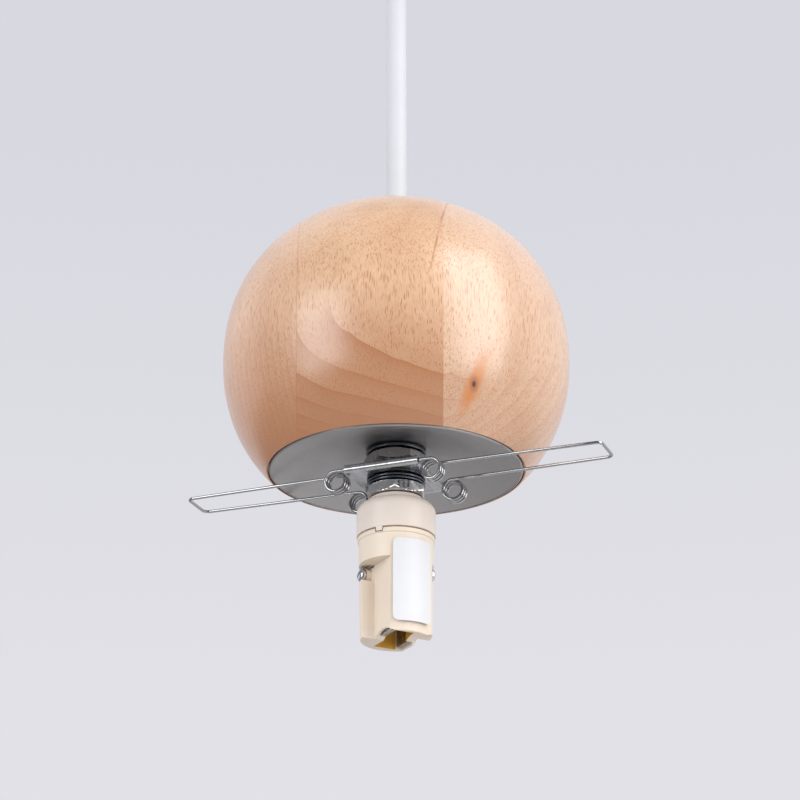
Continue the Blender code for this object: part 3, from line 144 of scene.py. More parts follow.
class PendantBall(bpy.types.PropertyGroup):
    """The turned beech ball and the staves that it is glued up from"""

    half_height: length("Half height", 0.04713, "Height of the whole profile above its centre")
    squareness: FloatProperty(
        name="Squareness",
        description="Power of the profile's superellipse, where 2 is an ellipse",
        default=2.1438,
    )
    mouth_rounding: length("Mouth rounding", 0.0006, "Rounding of the cord hole's edge")
    stave_turn: angle("Stave turn", 21, "Turn of the glue lines about the lamp's axis")
    left_glue_line: FloatProperty(
        name="Left glue line",
        description="Place of the left glue line across the staves",
        default=-0.0273,
        unit="LENGTH",
    )
    right_glue_line: FloatProperty(
        name="Right glue line",
        description="Place of the right glue line across the staves",
        default=0.0128,
        unit="LENGTH",
    )
    ring_width: length("Ring width", 0.00322, "Distance between growth lines in the middle stave")
    pale: colour("Early wood", (0.760, 0.505, 0.320), "Colour of the early wood")
    late: colour("Late wood", (0.42, 0.170, 0.064), "Colour of the late wood")
    fleck: colour("Flecks", (0.45, 0.145, 0.036), "Colour of the short ray flecks")
    knot: colour("Knot", (0.42, 0.13, 0.04), "Colour of the small knot")


class PendantMetal(bpy.types.PropertyGroup):
    """The steel disc, the clip bracket, its wires, washers and nuts"""

    disc_thickness: length("Disc thickness", 0.0010, "Sheet that the disc is spun from")
    plate_thickness: length("Plate thickness", 0.0008, "Sheet that the bracket is folded from")
    plate_rise: length("Plate rise", 0.0003, "How far the plate's foot lies above the rolls' foot")
    wire_diameter: length("Wire diameter", 0.00095, "Spring wire of the clips")
    coil_pitch: length("Coil pitch", 0.0015, "Step between neighbouring turns")
    coil_turns: count("Coil turns", 3, "Turns of each torsion coil")
    tip_width: length("Tip width", 0.0116, "Distance between the two arms at a clip's tip")
    tip_rounding: length("Tip rounding", 0.0018, "Bend radius at the clip's tip")
    washer_rounding: length("Washer rounding", 0.00030, "Rounding of the washers' edges")
    steel: colour("Disc steel", (0.56, 0.545, 0.535), "Colour of the satin steel disc")
    zinc: colour("Zinc", (0.80, 0.81, 0.83), "Colour of the bright plated parts")
    dark: colour("Dark washers", (0.20, 0.21, 0.24), "Colour of the dark plated washers")
    brass: colour("Brass", (0.72, 0.52, 0.25), "Colour of the terminal block's screws")
    nickel: colour("Nickel", (0.60, 0.57, 0.52), "Colour of the contacts and barrels")


class PendantHolder(bpy.types.PropertyGroup):
    """The cream lampholder and its bare label"""

    turn: angle("Holder turn", 139, "Turn of the lamp slot about the lamp's axis")
    collar_radius: length("Collar radius", 0.0109, "Radius of the collar under the cap")
    collar_height: length("Collar height", 0.0014, "Height of the collar")
    body_radius: length("Body radius", 0.0106, "Radius of the body under its collar")
    foot_radius: length("Foot radius", 0.0100, "Radius of the body at its foot")
    pocket_face: length("Pocket face", 0.0061, "Distance of the flat faces from the axis")
    pocket_lip: length("Pocket lip", 0.0012, "Where each pocket ends along the slot")
    notch_end: length("Notch end", 0.0070, "Where the notch round each side screw ends")
    notch_drop: length("Notch drop", 0.0024, "How far the notch reaches below its screw")
    pocket_depth: length("Pocket height", 0.0216, "Height of the pockets' ledge above the foot")
    slot_length: length("Slot length", 0.0144, "Length of the lamp slot")
    slot_width: length("Slot width", 0.0064, "Width of the lamp slot")
    slot_depth: length("Slot depth", 0.0150, "Depth of the lamp slot")
    scoop_radius: length("Scoop radius", 0.0085, "Radius of the scoop across the foot")
    scoop_rise: length("Scoop rise", 0.0016, "Height of the scoop above the foot")
    edge_rounding: length("Edge rounding", 0.00016, "Rounding of the moulded edges")
    rib_count: count("Contact ribs", 7, "Ribs pressed into each contact pad")
    cap_cream: colour("Cap", (0.715, 0.635, 0.572), "Colour of the cap")
    body_cream: colour("Body", (0.76, 0.655, 0.542), "Colour of the body")
    label_white: colour("Label", (0.68, 0.69, 0.72), "Colour of the bare label")


class PendantCord(bpy.types.PropertyGroup):
    """The cord, its grip and the ceiling rose"""

    sheath: colour("Sheath", (0.60, 0.625, 0.666), "Colour of the round cord")
    paint: colour("Rose paint", (0.70, 0.70, 0.71), "Colour of the painted rose")
    nylon: colour("Grip nylon", (0.70, 0.70, 0.69), "Colour of the moulded grip")
    brown: colour("Live core", (0.16, 0.065, 0.030), "Colour of the live core")
    blue: colour("Neutral core", (0.035, 0.13, 0.38), "Colour of the neutral core")
    rose_rounding: length("Rose rounding", 0.0060, "Corner radius of the pressed rose")
    rose_wall: length("Rose wall", 0.0010, "Sheet thickness of the rose")


class PendantStage(bpy.types.PropertyGroup):
    """Camera, lamps, floor and backdrop"""

    lens: FloatProperty(name="Lens", description="Focal length in millimetres", default=118.2)
    look_up: angle("Look up", 22.76, "How far the camera looks up")
    swing: angle("Swing", 21, "Turn of the camera about the lamp's axis")
    floor_drop: length("Floor drop", 1.25, "Distance of the floor below the ceiling")
    backdrop_top: colour("Backdrop top", (0.685, 0.685, 0.745), "Backdrop above the object")
    backdrop_foot: colour("Backdrop foot", (0.765, 0.757, 0.805), "Backdrop below the object")
    floor: colour("Floor", (0.74, 0.735, 0.76), "Colour of the plain floor")
    ambient: FloatProperty(name="Ambient", description="Strength of the even light", default=0.53)
    key: FloatProperty(name="Key", description="Power of the right softbox in watts", default=19.0)
    fill: FloatProperty(name="Fill", description="Power of the left softbox in watts", default=9.0)


# Mesh making


def patch(grid, wrap_rows=False, wrap_columns=True):
    """Vertices and quads of a grid of points, joined to its own start where it wraps."""
    rows, columns = grid.shape[:2]
    index = np.arange(rows * columns).reshape(rows, columns)
    if wrap_rows:
        index = np.vstack([index, index[:1]])
    if wrap_columns:
        index = np.hstack([index, index[:, :1]])
    corners = (index[:-1, :-1], index[:-1, 1:], index[1:, 1:], index[1:, :-1])
    return grid.reshape(-1, 3), np.stack(corners, axis=-1).reshape(-1, 4)


def rounded(corners, radii, steps=ARC_STEPS):
    """An outline with an arc at each corner. An arc of radius r starts r over the tangent of
    half the corner's angle away from it, about a centre on the corner's bisector."""
    corners = np.asarray(corners, float)
    radii = np.broadcast_to(np.asarray(radii, float), len(corners))
    back = np.roll(corners, 1, axis=0) - corners
    ahead = np.roll(corners, -1, axis=0) - corners
    back = back / np.linalg.norm(back, axis=1, keepdims=True)
    ahead = ahead / np.linalg.norm(ahead, axis=1, keepdims=True)
    half = np.arccos(np.clip((back * ahead).sum(axis=1), -1, 1)) / 2
    bisector = back + ahead
    bisector = bisector / np.maximum(np.linalg.norm(bisector, axis=1, keepdims=True), WELD_DISTANCE)
    centre = corners + bisector * (radii / np.sin(half))[:, None]
    first = corners + back * (radii / np.tan(half))[:, None] - centre
    last = corners + ahead * (radii / np.tan(half))[:, None] - centre
    start = np.arctan2(first[:, 1], first[:, 0])
    sweep = (np.arctan2(last[:, 1], last[:, 0]) - start + math.pi) % FULL_TURN - math.pi
    turns = start[:, None] + sweep[:, None] * np.linspace(0, 1, steps + 1)
    rims = np.stack([np.cos(turns), np.sin(turns)], axis=-1)
    outline = (centre[:, None, :] + radii[:, None, None] * rims).reshape(-1, 2)
    step = np.linalg.norm(outline - np.roll(outline, 1, axis=0), axis=1)
    return outline[step > WELD_DISTANCE]


def turned(profile, steps, start=0.0, sweep=FULL_TURN):
    """A profile of (radius, height) points carried round Z: x and y are the radius times the
    cosine and sine of the turn, and z is the height."""
    profile = np.asarray(profile, float)
    whole = math.isclose(sweep, FULL_TURN)
    turns = start + np.linspace(0, sweep, steps + (0 if whole else 1), endpoint=not whole)
    radius, height = profile[:, 0, None], profile[:, 1, None]
    grid = np.stack([radius * np.cos(turns), radius * np.sin(turns), height + 0 * turns], axis=-1)
    return patch(grid, wrap_rows=True, wrap_columns=whole)


def swept(path, facing, radii, sides):
    """A round bar: each ring is its path point plus the radius times the cosine and sine of an
    even turn, along the facing direction made square to the path and along their cross product."""
    ahead = np.gradient(path, axis=0)
    ahead = ahead / np.linalg.norm(ahead, axis=1, keepdims=True)
    side = facing - (facing * ahead).sum(axis=1, keepdims=True) * ahead
    side = side / np.linalg.norm(side, axis=1, keepdims=True)
    other = np.cross(ahead, side)
    turns = np.linspace(0, FULL_TURN, sides, endpoint=False)
    ring = side[:, None, :] * np.cos(turns)[:, None] + other[:, None, :] * np.sin(turns)[:, None]
    return patch(path[:, None, :] + np.asarray(radii)[:, None, None] * ring)


def boxed(low, high, turn=0.0, taper=0.0):
    """A box between two corners, narrowed at its foot by the taper and turned about Z."""
    low, high = np.asarray(low, float), np.asarray(high, float)
    unit = np.array([(x, y, z) for z in (0, 1) for y in (0, 1) for x in (0, 1)], float)
    points = low + unit * (high - low)
    points[:4, 1] += taper * np.array([1, 1, -1, -1])
    faces = np.array(
        [(0, 2, 3, 1), (4, 5, 7, 6), (0, 1, 5, 4), (1, 3, 7, 5), (3, 2, 6, 7), (2, 0, 4, 6)]
    )
    return spun(points, turn), faces


def spun(points, turn):
    """Points turned about Z."""
    cosine, sine = math.cos(turn), math.sin(turn)
    return points @ np.array([(cosine, sine, 0), (-sine, cosine, 0), (0, 0, 1)])


def aimed(shape, origin, direction):
    """A shape made along Z, moved so that Z runs along the direction from the origin."""
    points, faces = shape
    along = np.asarray(direction, float) / np.linalg.norm(direction)
    across = np.cross((0, 0, 1.0), along)
    if np.linalg.norm(across) < WELD_DISTANCE:
        across = np.array((1.0, 0, 0))
    across = across / np.linalg.norm(across)
    third = np.cross(along, across)
    return np.asarray(origin, float) + points @ np.array([across, third, along]), faces


def mesh_object(name, shapes, fill_holes=False):
    """One object of several shapes, its doubles merged, any hole filled, its faces outwards."""
    body = bmesh.new()
    for points, faces in shapes:
        mesh = bpy.data.meshes.new(name)
        mesh.from_pydata(points.tolist(), [], faces.tolist())
        body.from_mesh(mesh)
        bpy.data.meshes.remove(mesh)
    bmesh.ops.remove_doubles(body, verts=body.verts, dist=WELD_DISTANCE)
    if fill_holes:
        rims = [edge for edge in body.edges if edge.is_boundary]
        bmesh.ops.holes_fill(body, edges=rims, sides=0)
    bmesh.ops.recalc_face_normals(body, faces=body.faces)
    mesh = bpy.data.meshes.new(name)
    body.to_mesh(mesh)
    body.free()
    piece = bpy.data.objects.new(name, mesh)
    bpy.context.scene.collection.objects.link(piece)
    return piece


def smoothed(piece, sharp=SHARP_ANGLE):
    """Shades a mesh smooth but for its sharp edges."""
    piece.data.shade_smooth()
    piece.data.set_sharp_from_angle(angle=sharp)
    return piece


def carved(piece, shapes, operation="DIFFERENCE"):
    """Cuts closed shapes out of the piece, or joins them to it, and keeps the outcome."""
    tools = [mesh_object(piece.name + "_tool", [shape]) for shape in shapes]
    for tool in tools:
        boolean = piece.modifiers.new(tool.name, "BOOLEAN")
        boolean.operation = operation
        boolean.solver = "EXACT"
        boolean.object = tool
    settled(piece)
    for tool in tools:
        bpy.data.objects.remove(tool, do_unlink=True)
    return piece


def settled(piece):
    """Applies the piece's modifiers."""
    bpy.context.view_layer.update()
    graph = bpy.context.evaluated_depsgraph_get()
    mesh = bpy.data.meshes.new_from_object(piece.evaluated_get(graph))
    piece.modifiers.clear()
    piece.data = mesh
    return piece


def bevelled(piece, width, segments=2, limit=SHARP_ANGLE):
    """Rounds the piece's sharp edges."""
    bevel = piece.modifiers.new("rounding", "BEVEL")
    bevel.width = width
    bevel.segments = segments
    bevel.limit_method = "ANGLE"
    bevel.angle_limit = limit
    bevel.use_clamp_overlap = True
    return settled(piece)


def finished(piece, material, body, slot, *nodes):
    """Gives a piece its material and its body, and hides the framed nodes that it stands for; the slot is
    not used.
    """
    piece.data.materials.clear()
    piece.data.materials.append(material)
    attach(piece, body)
    if nodes:
        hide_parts(*nodes)
    return piece


def dress_node(node, material):
    """Gives a framed node a new material."""
    piece = frame["nodes"][node]
    piece.data.materials.clear()
    piece.data.materials.append(material)


# Node making


def fill_socket(tree, socket, value):
    """Sets a socket to a value, or links an output to it."""
    if isinstance(value, bpy.types.NodeSocket):
        tree.links.new(value, socket)
    elif hasattr(value, "__len__") and len(value) == 3 and socket.type == "RGBA":
        socket.default_value = (*value, 1)
    else:
        socket.default_value = value


def add_node(tree, kind, settings=None, **sockets):
    """A node with its settings and its named sockets filled."""
    made = tree.nodes.new(kind)
    for key, value in (settings or {}).items():
        setattr(made, key, value)
    for key, value in sockets.items():
        fill_socket(tree, made.inputs[key.replace("_", " ")], value)
    return made


def worked(tree, operation, first, second=0.0, clamp=False):
    """The outcome of one Math node."""
    maths = add_node(tree, "ShaderNodeMath", {"operation": operation, "use_clamp": clamp})
    fill_socket(tree, maths.inputs[0], first)
    fill_socket(tree, maths.inputs[1], second)
    return maths.outputs[0]


def vectored(tree, operation, first, second=(0, 0, 0)):
    """The vector outcome of one Vector Math node."""
    maths = add_node(tree, "ShaderNodeVectorMath", {"operation": operation})
    fill_socket(tree, maths.inputs[0], first)
    fill_socket(tree, maths.inputs[1], second)
    return maths.outputs["Value" if operation in ("LENGTH", "DOT_PRODUCT") else "Vector"]


def ranged(tree, value, low, high, to_low=0.0, to_high=1.0, smooth=False):
    """The value carried from one range to another, held at both ends."""
    settings = {"interpolation_type": "SMOOTHSTEP"} if smooth else {}
    ranging = add_node(tree, "ShaderNodeMapRange", settings, Value=value, To_Min=to_low, To_Max=to_high)
    fill_socket(tree, ranging.inputs["From Min"], low)
    fill_socket(tree, ranging.inputs["From Max"], high)
    return ranging.outputs["Result"]


def mixed(tree, factor, first, second, blend="MIX"):
    """Two colours mixed by a factor."""
    mixing = add_node(tree, "ShaderNodeMix", {"data_type": "RGBA", "blend_type": blend})
    fill_socket(tree, mixing.inputs[0], factor)
    fill_socket(tree, mixing.inputs[6], first)
    fill_socket(tree, mixing.inputs[7], second)
    return mixing.outputs[2]


def noised(tree, place, scale, detail=2.0, roughness=0.5, output="Fac"):
    """A noise over a place."""
    noise = add_node(tree, "ShaderNodeTexNoise", {"noise_dimensions": "3D"}, Vector=place)
    noise.inputs["Scale"].default_value = scale
    noise.inputs["Detail"].default_value = detail
    noise.inputs["Roughness"].default_value = roughness
    return noise.outputs[output]


def new_group(name, inputs, outputs):
    """An empty shader group with its sockets, its input node and its output node."""
    kinds = {"value": "NodeSocketFloat", "vector": "NodeSocketVector", "colour": "NodeSocketColor"}
    group = bpy.data.node_groups.new(name, "ShaderNodeTree")
    for socket_name, kind, default in inputs:
        socket = group.interface.new_socket(socket_name, in_out="INPUT", socket_type=kinds[kind])
        if default is not None:
            socket.default_value = default
    for socket_name, kind in outputs:
        group.interface.new_socket(socket_name, in_out="OUTPUT", socket_type=kinds[kind])
    return group, group.nodes.new("NodeGroupInput"), group.nodes.new("NodeGroupOutput")


def placed_group(tree, group, **sockets):
    """A group placed in a material with its own values."""
    made = tree.nodes.new("ShaderNodeGroup")
    made.node_tree = group
    for key, value in sockets.items():
        fill_socket(tree, made.inputs[key.replace("_", " ")], value)
    return made


def make_handling_group():
    """Soft marks of handling: a slow cloud, finer smears and a very fine tooth for the bump."""
    group, start, end = new_group(
        "Handling Marks",
        [("Place", "vector", None), ("Cloud Scale", "value", 90.0), ("Tooth Scale", "value", 2500.0)],
        [("Cloud", "value"), ("Smear", "value"), ("Tooth", "value")],
    )
    cloud = add_node(group, "ShaderNodeTexNoise", Vector=start.outputs["Place"], Detail=CLOUD_DETAIL)
    group.links.new(start.outputs["Cloud Scale"], cloud.inputs["Scale"])
    smear_place = vectored(group, "MULTIPLY", start.outputs["Place"], SMEAR_STRETCH_SHARES)
    smear_scale = worked(group, "MULTIPLY", start.outputs["Cloud Scale"], SMEARS_TO_A_CLOUD)
    smear = add_node(group, "ShaderNodeTexNoise", Vector=smear_place, **SMEAR_NOISE)
    group.links.new(smear_scale, smear.inputs["Scale"])
    tooth = add_node(group, "ShaderNodeTexNoise", Vector=start.outputs["Place"], Detail=2.0)
    group.links.new(start.outputs["Tooth Scale"], tooth.inputs["Scale"])
    group.links.new(ranged(group, cloud.outputs["Fac"], *CLOUD_SHARES), end.inputs["Cloud"])
    group.links.new(ranged(group, smear.outputs["Fac"], *SMEAR_SHARES), end.inputs["Smear"])
    group.links.new(tooth.outputs["Fac"], end.inputs["Tooth"])
    return group


SMEAR_STRETCH_SHARES = (1.0, 1.0, 0.35)
SMEARS_TO_A_CLOUD = 6.0
SMEAR_NOISE = {"Detail": 5.0, "Distortion": 0.6}
CLOUD_DETAIL = 3.0
CLOUD_SHARES = (0.3, 0.7)
SMEAR_SHARES = (0.35, 0.75)


def make_stave_group():
    """Growth rings of one stave. The ring number is the distance from the pith over the ring's
    width. The wood darkens towards each ring's outer edge and turns pale again past it."""
    group, start, end = new_group(
        "Stave Rings",
        [
            ("Place", "vector", None),
            ("Pith", "vector", None),
            ("Ring Width", "value", 0.0032),
            ("Ring Phase", "value", 0.2),
            ("Knot Pull", "value", 0.0),
        ],
        [("Late", "value"), ("Edge", "value"), ("Tone", "value")],
    )
    place = start.outputs["Place"]
    drawn_out = vectored(group, "MULTIPLY", place, WOBBLE_STRETCH_SHARES)
    wobble = noised(group, drawn_out, WOBBLE_SCALE, WOBBLE_DETAIL)
    offset = vectored(group, "SUBTRACT", place, start.outputs["Pith"])
    level = vectored(group, "MULTIPLY", offset, (1.0, 1.0, 0.0))
    reach = vectored(group, "LENGTH", level)
    turns = worked(group, "DIVIDE", reach, start.outputs["Ring Width"])
    turns = worked(group, "SUBTRACT", turns, start.outputs["Ring Phase"])
    turns = worked(group, "ADD", turns, worked(group, "MULTIPLY", wobble, WOBBLE_SHARE))
    turns = worked(group, "ADD", turns, start.outputs["Knot Pull"])
    ring = worked(group, "FRACT", turns)
    late = worked(group, "POWER", ring, LATE_POWER)
    edge = ranged(group, ring, EDGE_START_SHARE, 1.0)
    number = worked(group, "FLOOR", turns)
    each = add_node(group, "ShaderNodeTexWhiteNoise", {"noise_dimensions": "1D"})
    group.links.new(number, each.inputs["W"])
    group.links.new(late, end.inputs["Late"])
    group.links.new(edge, end.inputs["Edge"])
    group.links.new(each.outputs["Value"], end.inputs["Tone"])
    return group


WOBBLE_STRETCH_SHARES = (1.0, 1.0, 0.4)
WOBBLE_SCALE = 55.0
WOBBLE_DETAIL = 3.0
WOBBLE_SHARE = 0.5
LATE_POWER = 1.8
EDGE_START_SHARE = 0.90


def make_fleck_group():
    """Ray flecks: short spindles along the grain, one to each cell of a stretched Voronoi."""
    group, start, end = new_group(
        "Ray Flecks",
        [("Place", "vector", None), ("Width", "value", 0.0006), ("Length", "value", 0.0027)],
        [("Fleck", "value"), ("Pore", "value")],
    )
    across = worked(group, "DIVIDE", 1.0, start.outputs["Width"])
    along = worked(group, "DIVIDE", 1.0, start.outputs["Length"])
    stretch = add_node(group, "ShaderNodeCombineXYZ", X=across, Y=across, Z=along)
    bent = noised(group, start.outputs["Place"], FLECK_BEND_SCALE, 1.0, output="Color")
    bent = vectored(group, "MULTIPLY", bent, FLECK_BEND)
    place = vectored(group, "ADD", start.outputs["Place"], bent)
    place = vectored(group, "MULTIPLY", place, stretch.outputs[0])
    cells = add_node(group, "ShaderNodeTexVoronoi", {"feature": "F1"}, Vector=place, Scale=1.0)
    spindle = ranged(group, cells.outputs["Distance"], *FLECK_REACH_SHARES)
    chance = add_node(group, "ShaderNodeSeparateColor", Color=cells.outputs["Color"])
    depth = ranged(group, chance.outputs[0], *FLECK_CHANCE_SHARES)
    group.links.new(worked(group, "MULTIPLY", spindle, depth), end.inputs["Fleck"])
    pore_place = vectored(group, "MULTIPLY", start.outputs["Place"], PORE_STRETCH_SHARES)
    pore = noised(group, pore_place, PORE_SCALE)
    group.links.new(ranged(group, pore, *PORE_SHARES), end.inputs["Pore"])
    return group


FLECK_BEND_SCALE = 60.0
FLECK_BEND = (0.0025, 0.0025, 0.0)
FLECK_REACH_SHARES = (0.44, 0.26)
FLECK_CHANCE_SHARES = (0.2, 0.9)
PORE_STRETCH_SHARES = (1.0, 1.0, 0.06)
PORE_SCALE = 5200.0
PORE_SHARES = (0.40, 0.70)


class Finishes:
    """Every finish of the lamp, made once and shared."""

    made = {}


def object_place(tree):
    """Object coordinates."""
    return add_node(tree, "ShaderNodeTexCoord").outputs["Object"]


def new_material(name, **constants):
    """A material with a bare Principled shader, its constant sockets set."""
    material = bpy.data.materials.new(name)
    material.use_nodes = True
    tree = material.node_tree
    shader = tree.nodes["Principled BSDF"]
    for key, value in constants.items():
        fill_socket(tree, shader.inputs[key.replace("_", " ")], value)
    return material, tree, shader


def add_bump(tree, shader, height, depth, strength=1.0):
    """Feeds a height to the shader's normal."""
    bump = add_node(tree, "ShaderNodeBump", Height=height, Distance=depth, Strength=strength)
    tree.links.new(bump.outputs["Normal"], shader.inputs["Normal"])


def make_beech(ball, centre_z, groups):
    """Three staves with their own rings, glue lines between them, flecks, pores and one knot."""
    material, tree, shader = new_material(
        "Beech", Coat_Weight=1.0, Coat_Roughness=0.27, Coat_IOR=1.85, Specular_IOR_Level=0.35
    )
    place = add_node(tree, "ShaderNodeMapping", Vector=object_place(tree))
    place.inputs["Rotation"].default_value = (0, 0, -ball.stave_turn)
    place.inputs["Location"].default_value = (0, 0, -centre_z)
    place = place.outputs["Vector"]
    parts = add_node(tree, "ShaderNodeSeparateXYZ", Vector=place)
    across, back, height = parts.outputs["X"], parts.outputs["Y"], parts.outputs["Z"]
    left = worked(tree, "LESS_THAN", across, ball.left_glue_line)
    right = worked(tree, "GREATER_THAN", across, ball.right_glue_line)

    # The knot bends the rings round it, and its halo leans along the grain
    knot_offset = vectored(tree, "SUBTRACT", place, KNOT_PLACE)
    knot_near = vectored(tree, "LENGTH", vectored(tree, "MULTIPLY", knot_offset, KNOT_SHAPE))
    pull = ranged(tree, knot_near, KNOT_PULL_REACH, 0.0, smooth=True)
    pull = worked(tree, "MULTIPLY", pull, KNOT_PULL)
    rise = add_node(tree, "ShaderNodeSeparateXYZ", Vector=knot_offset).outputs["Z"]
    lean = add_node(tree, "ShaderNodeCombineXYZ", X=worked(tree, "MULTIPLY", rise, KNOT_LEAN_SHARE))
    leaning = vectored(tree, "SUBTRACT", knot_offset, lean.outputs[0])
    halo_near = vectored(tree, "LENGTH", vectored(tree, "MULTIPLY", leaning, KNOT_HALO_SHAPE))
    smoke = noised(tree, place, KNOT_SMOKE_SCALE, FINE_DETAIL)
    halo_near = worked(tree, "ADD", halo_near, worked(tree, "MULTIPLY", smoke, KNOT_SMOKE_DEPTH))

    staves = []
    for pith, width, phase, knot_pull in (
        (LEFT_PITH, ball.ring_width * LEFT_RING_SHARE, LEFT_PHASE_SHARE, 0.0),
        (MIDDLE_PITH, ball.ring_width, MIDDLE_PHASE_SHARE, 0.0),
        (RIGHT_PITH, ball.ring_width * RIGHT_RING_SHARE, RIGHT_PHASE_SHARE, pull),
    ):
        staves.append(
            placed_group(
                tree,
                groups["stave"],
                Place=place,
                Pith=pith,
                Ring_Width=width,
                Ring_Phase=phase,
                Knot_Pull=knot_pull,
            )
        )
    middle = worked(tree, "SUBTRACT", worked(tree, "SUBTRACT", 1.0, left), right)

    def chosen(output, contrast_shares):
        """The output of the stave that a point lies in, at that stave's contrast."""
        total = 0.0
        for stave, contrast, inside in zip(staves, contrast_shares, (left, middle, right)):
            value = worked(tree, "MULTIPLY", stave.outputs[output], contrast)
            total = worked(tree, "ADD", total, worked(tree, "MULTIPLY", value, inside))
        return total

    # The rings show below the figure's top, and only faintly inside the middle stave's inmost ring
    figure = ranged(tree, height, FIGURE_TOP, FIGURE_FULL, FIGURE_TOP_SHARE, 1.0)
    level = vectored(tree, "SUBTRACT", place, MIDDLE_PITH)
    level = vectored(tree, "MULTIPLY", level, (1.0, 1.0, 0.0))
    reach = vectored(tree, "LENGTH", level)
    inmost = ranged(tree, reach, INMOST_RING - INMOST_SOFTNESS, INMOST_RING, 1.0, INMOST_SHARE)
    figure = worked(tree, "MULTIPLY", figure, inmost)
    late = worked(tree, "MULTIPLY", chosen("Late", LATE_CONTRAST_SHARES), figure)
    edge = worked(tree, "MULTIPLY", chosen("Edge", EDGE_CONTRAST_SHARES), figure)
    tone = worked(tree, "MULTIPLY", chosen("Tone", TONE_CONTRAST_SHARES), figure)
    # Darker towards the ball's foot, less so on the right stave: partly painted shade, partly darker wood
    low = ranged(tree, height, FOOT_SHADE_AND_WOOD_START, FOOT_SHADE_AND_WOOD_END, 0.0, FOOT_SHADE_AND_WOOD_SHARE)
    low = worked(tree, "MULTIPLY", low, ranged(tree, right, 0.0, 1.0, 1.0, FOOT_SHADE_AND_WOOD_RIGHT_SHARE))
    flecks = placed_group(tree, groups["fleck"], Place=place, Width=FLECK_WIDTH, Length=FLECK_LENGTH)
    small = placed_group(tree, groups["fleck"], Place=place, Width=SMALL_WIDTH, Length=SMALL_LENGTH)
    cloud_place = vectored(tree, "MULTIPLY", place, WOOD_CLOUD_STRETCH_SHARES)
    clouds = noised(tree, cloud_place, WOOD_CLOUD_SCALE, FINE_DETAIL)
    clouds = ranged(tree, clouds, *WOOD_CLOUD_SHARES, 0.0, WOOD_CLOUD_MIX_SHARE)
    shine = placed_group(tree, groups["handling"], Place=place)

    wood = mixed(tree, left, ball.pale, LEFT_GROUND)
    wood = mixed(tree, right, wood, RIGHT_GROUND)
    for mask, mix_share, tint in (
        (clouds, 1.0, ball.late),
        # painted shade and darker wood towards the foot
        (low, 1.0, ball.late),
        (late, LATE_MIX_SHARE, ball.late),
        (tone, TONE_MIX_SHARE, ball.late),
        (edge, EDGE_MIX_SHARE, ball.fleck),
        (flecks.outputs["Pore"], PORE_MIX_SHARE, ball.late),
        (small.outputs["Fleck"], SMALL_MIX_SHARE, ball.fleck),
        (flecks.outputs["Fleck"], FLECK_MIX_SHARE, ball.fleck),
    ):
        wood = mixed(tree, worked(tree, "MULTIPLY", mask, mix_share), wood, tint)
    for near, outer, inner, mix_share, tint in (
        (halo_near, HALO_OUTER, HALO_INNER, HALO_MIX_SHARE, KNOT_GLOW),
        (knot_near, KNOT_OUTER, KNOT_INNER, KNOT_MIX_SHARE, ball.knot),
        (knot_near, HEART_OUTER, HEART_INNER, KNOT_MIX_SHARE, KNOT_HEART),
    ):
        wood = mixed(tree, ranged(tree, near, outer, inner, 0.0, mix_share, smooth=True), wood, tint)

    # A dark streak leans away from the right glue line on the shown side
    slant = worked(tree, "MULTIPLY", worked(tree, "SUBTRACT", height, STREAK_TOP), STREAK_LEAN_SHARE)
    streak = worked(tree, "SUBTRACT", worked(tree, "SUBTRACT", across, ball.right_glue_line), slant)
    streak = worked(tree, "ABSOLUTE", streak)
    streak = ranged(tree, streak, STREAK_HALF, GLUE_LINE_HALF, 0.0, STREAK_MIX_SHARE)
    for mask in (
        ranged(tree, height, STREAK_FOOT, STREAK_FOOT + STREAK_FADE),
        ranged(tree, noised(tree, place, STREAK_SCALE), *STREAK_SHARES),
        worked(tree, "LESS_THAN", back, 0.0),
    ):
        streak = worked(tree, "MULTIPLY", streak, mask)
    wood = mixed(tree, streak, wood, ball.late)
    for line, mix_share in (
        (ball.left_glue_line, LEFT_GLUE_MIX_SHARE),
        (ball.right_glue_line, RIGHT_GLUE_MIX_SHARE),
    ):
        off = worked(tree, "ABSOLUTE", worked(tree, "SUBTRACT", across, line))
        seam = ranged(tree, off, GLUE_LINE_HALF * 2, GLUE_LINE_HALF / 2, 0.0, mix_share)
        wood = mixed(tree, seam, wood, ball.fleck)
    tree.links.new(wood, shader.inputs["Base Color"])

    rough = WOOD_ROUGHNESS
    for mask, more in (
        (shine.outputs["Smear"], SMEAR_ROUGHNESS),
        (flecks.outputs["Fleck"], FLECK_ROUGHNESS),
    ):
        rough = worked(tree, "ADD", rough, worked(tree, "MULTIPLY", mask, more))
    tree.links.new(rough, shader.inputs["Roughness"])
    pits = flecks.outputs["Fleck"]
    for mask in (flecks.outputs["Pore"], edge):
        pits = worked(tree, "ADD", pits, worked(tree, "MULTIPLY", mask, SHALLOW_SHARE))
    add_bump(tree, shader, worked(tree, "SUBTRACT", 1.0, pits), WOOD_BUMP_DEPTH, WOOD_BUMP_SHARE)
    return material


# The wood's own frame: x across the staves, y away from their shown face, z up, from the centre
MIDDLE_PITH = (-0.009, 0.017, 0.0)
LEFT_PITH = (-0.115, 0.010, 0.0)
RIGHT_PITH = (0.026, 0.014, 0.0)
LEFT_RING_SHARE = 0.72
RIGHT_RING_SHARE = 1.12
LEFT_PHASE_SHARE = 0.35
MIDDLE_PHASE_SHARE = 0.20
RIGHT_PHASE_SHARE = 0.55
INMOST_RING = 0.0664
INMOST_SOFTNESS = 0.0008
INMOST_SHARE = 0.15
FIGURE_TOP = -0.001
FIGURE_FULL = -0.012
FIGURE_TOP_SHARE = 0.08
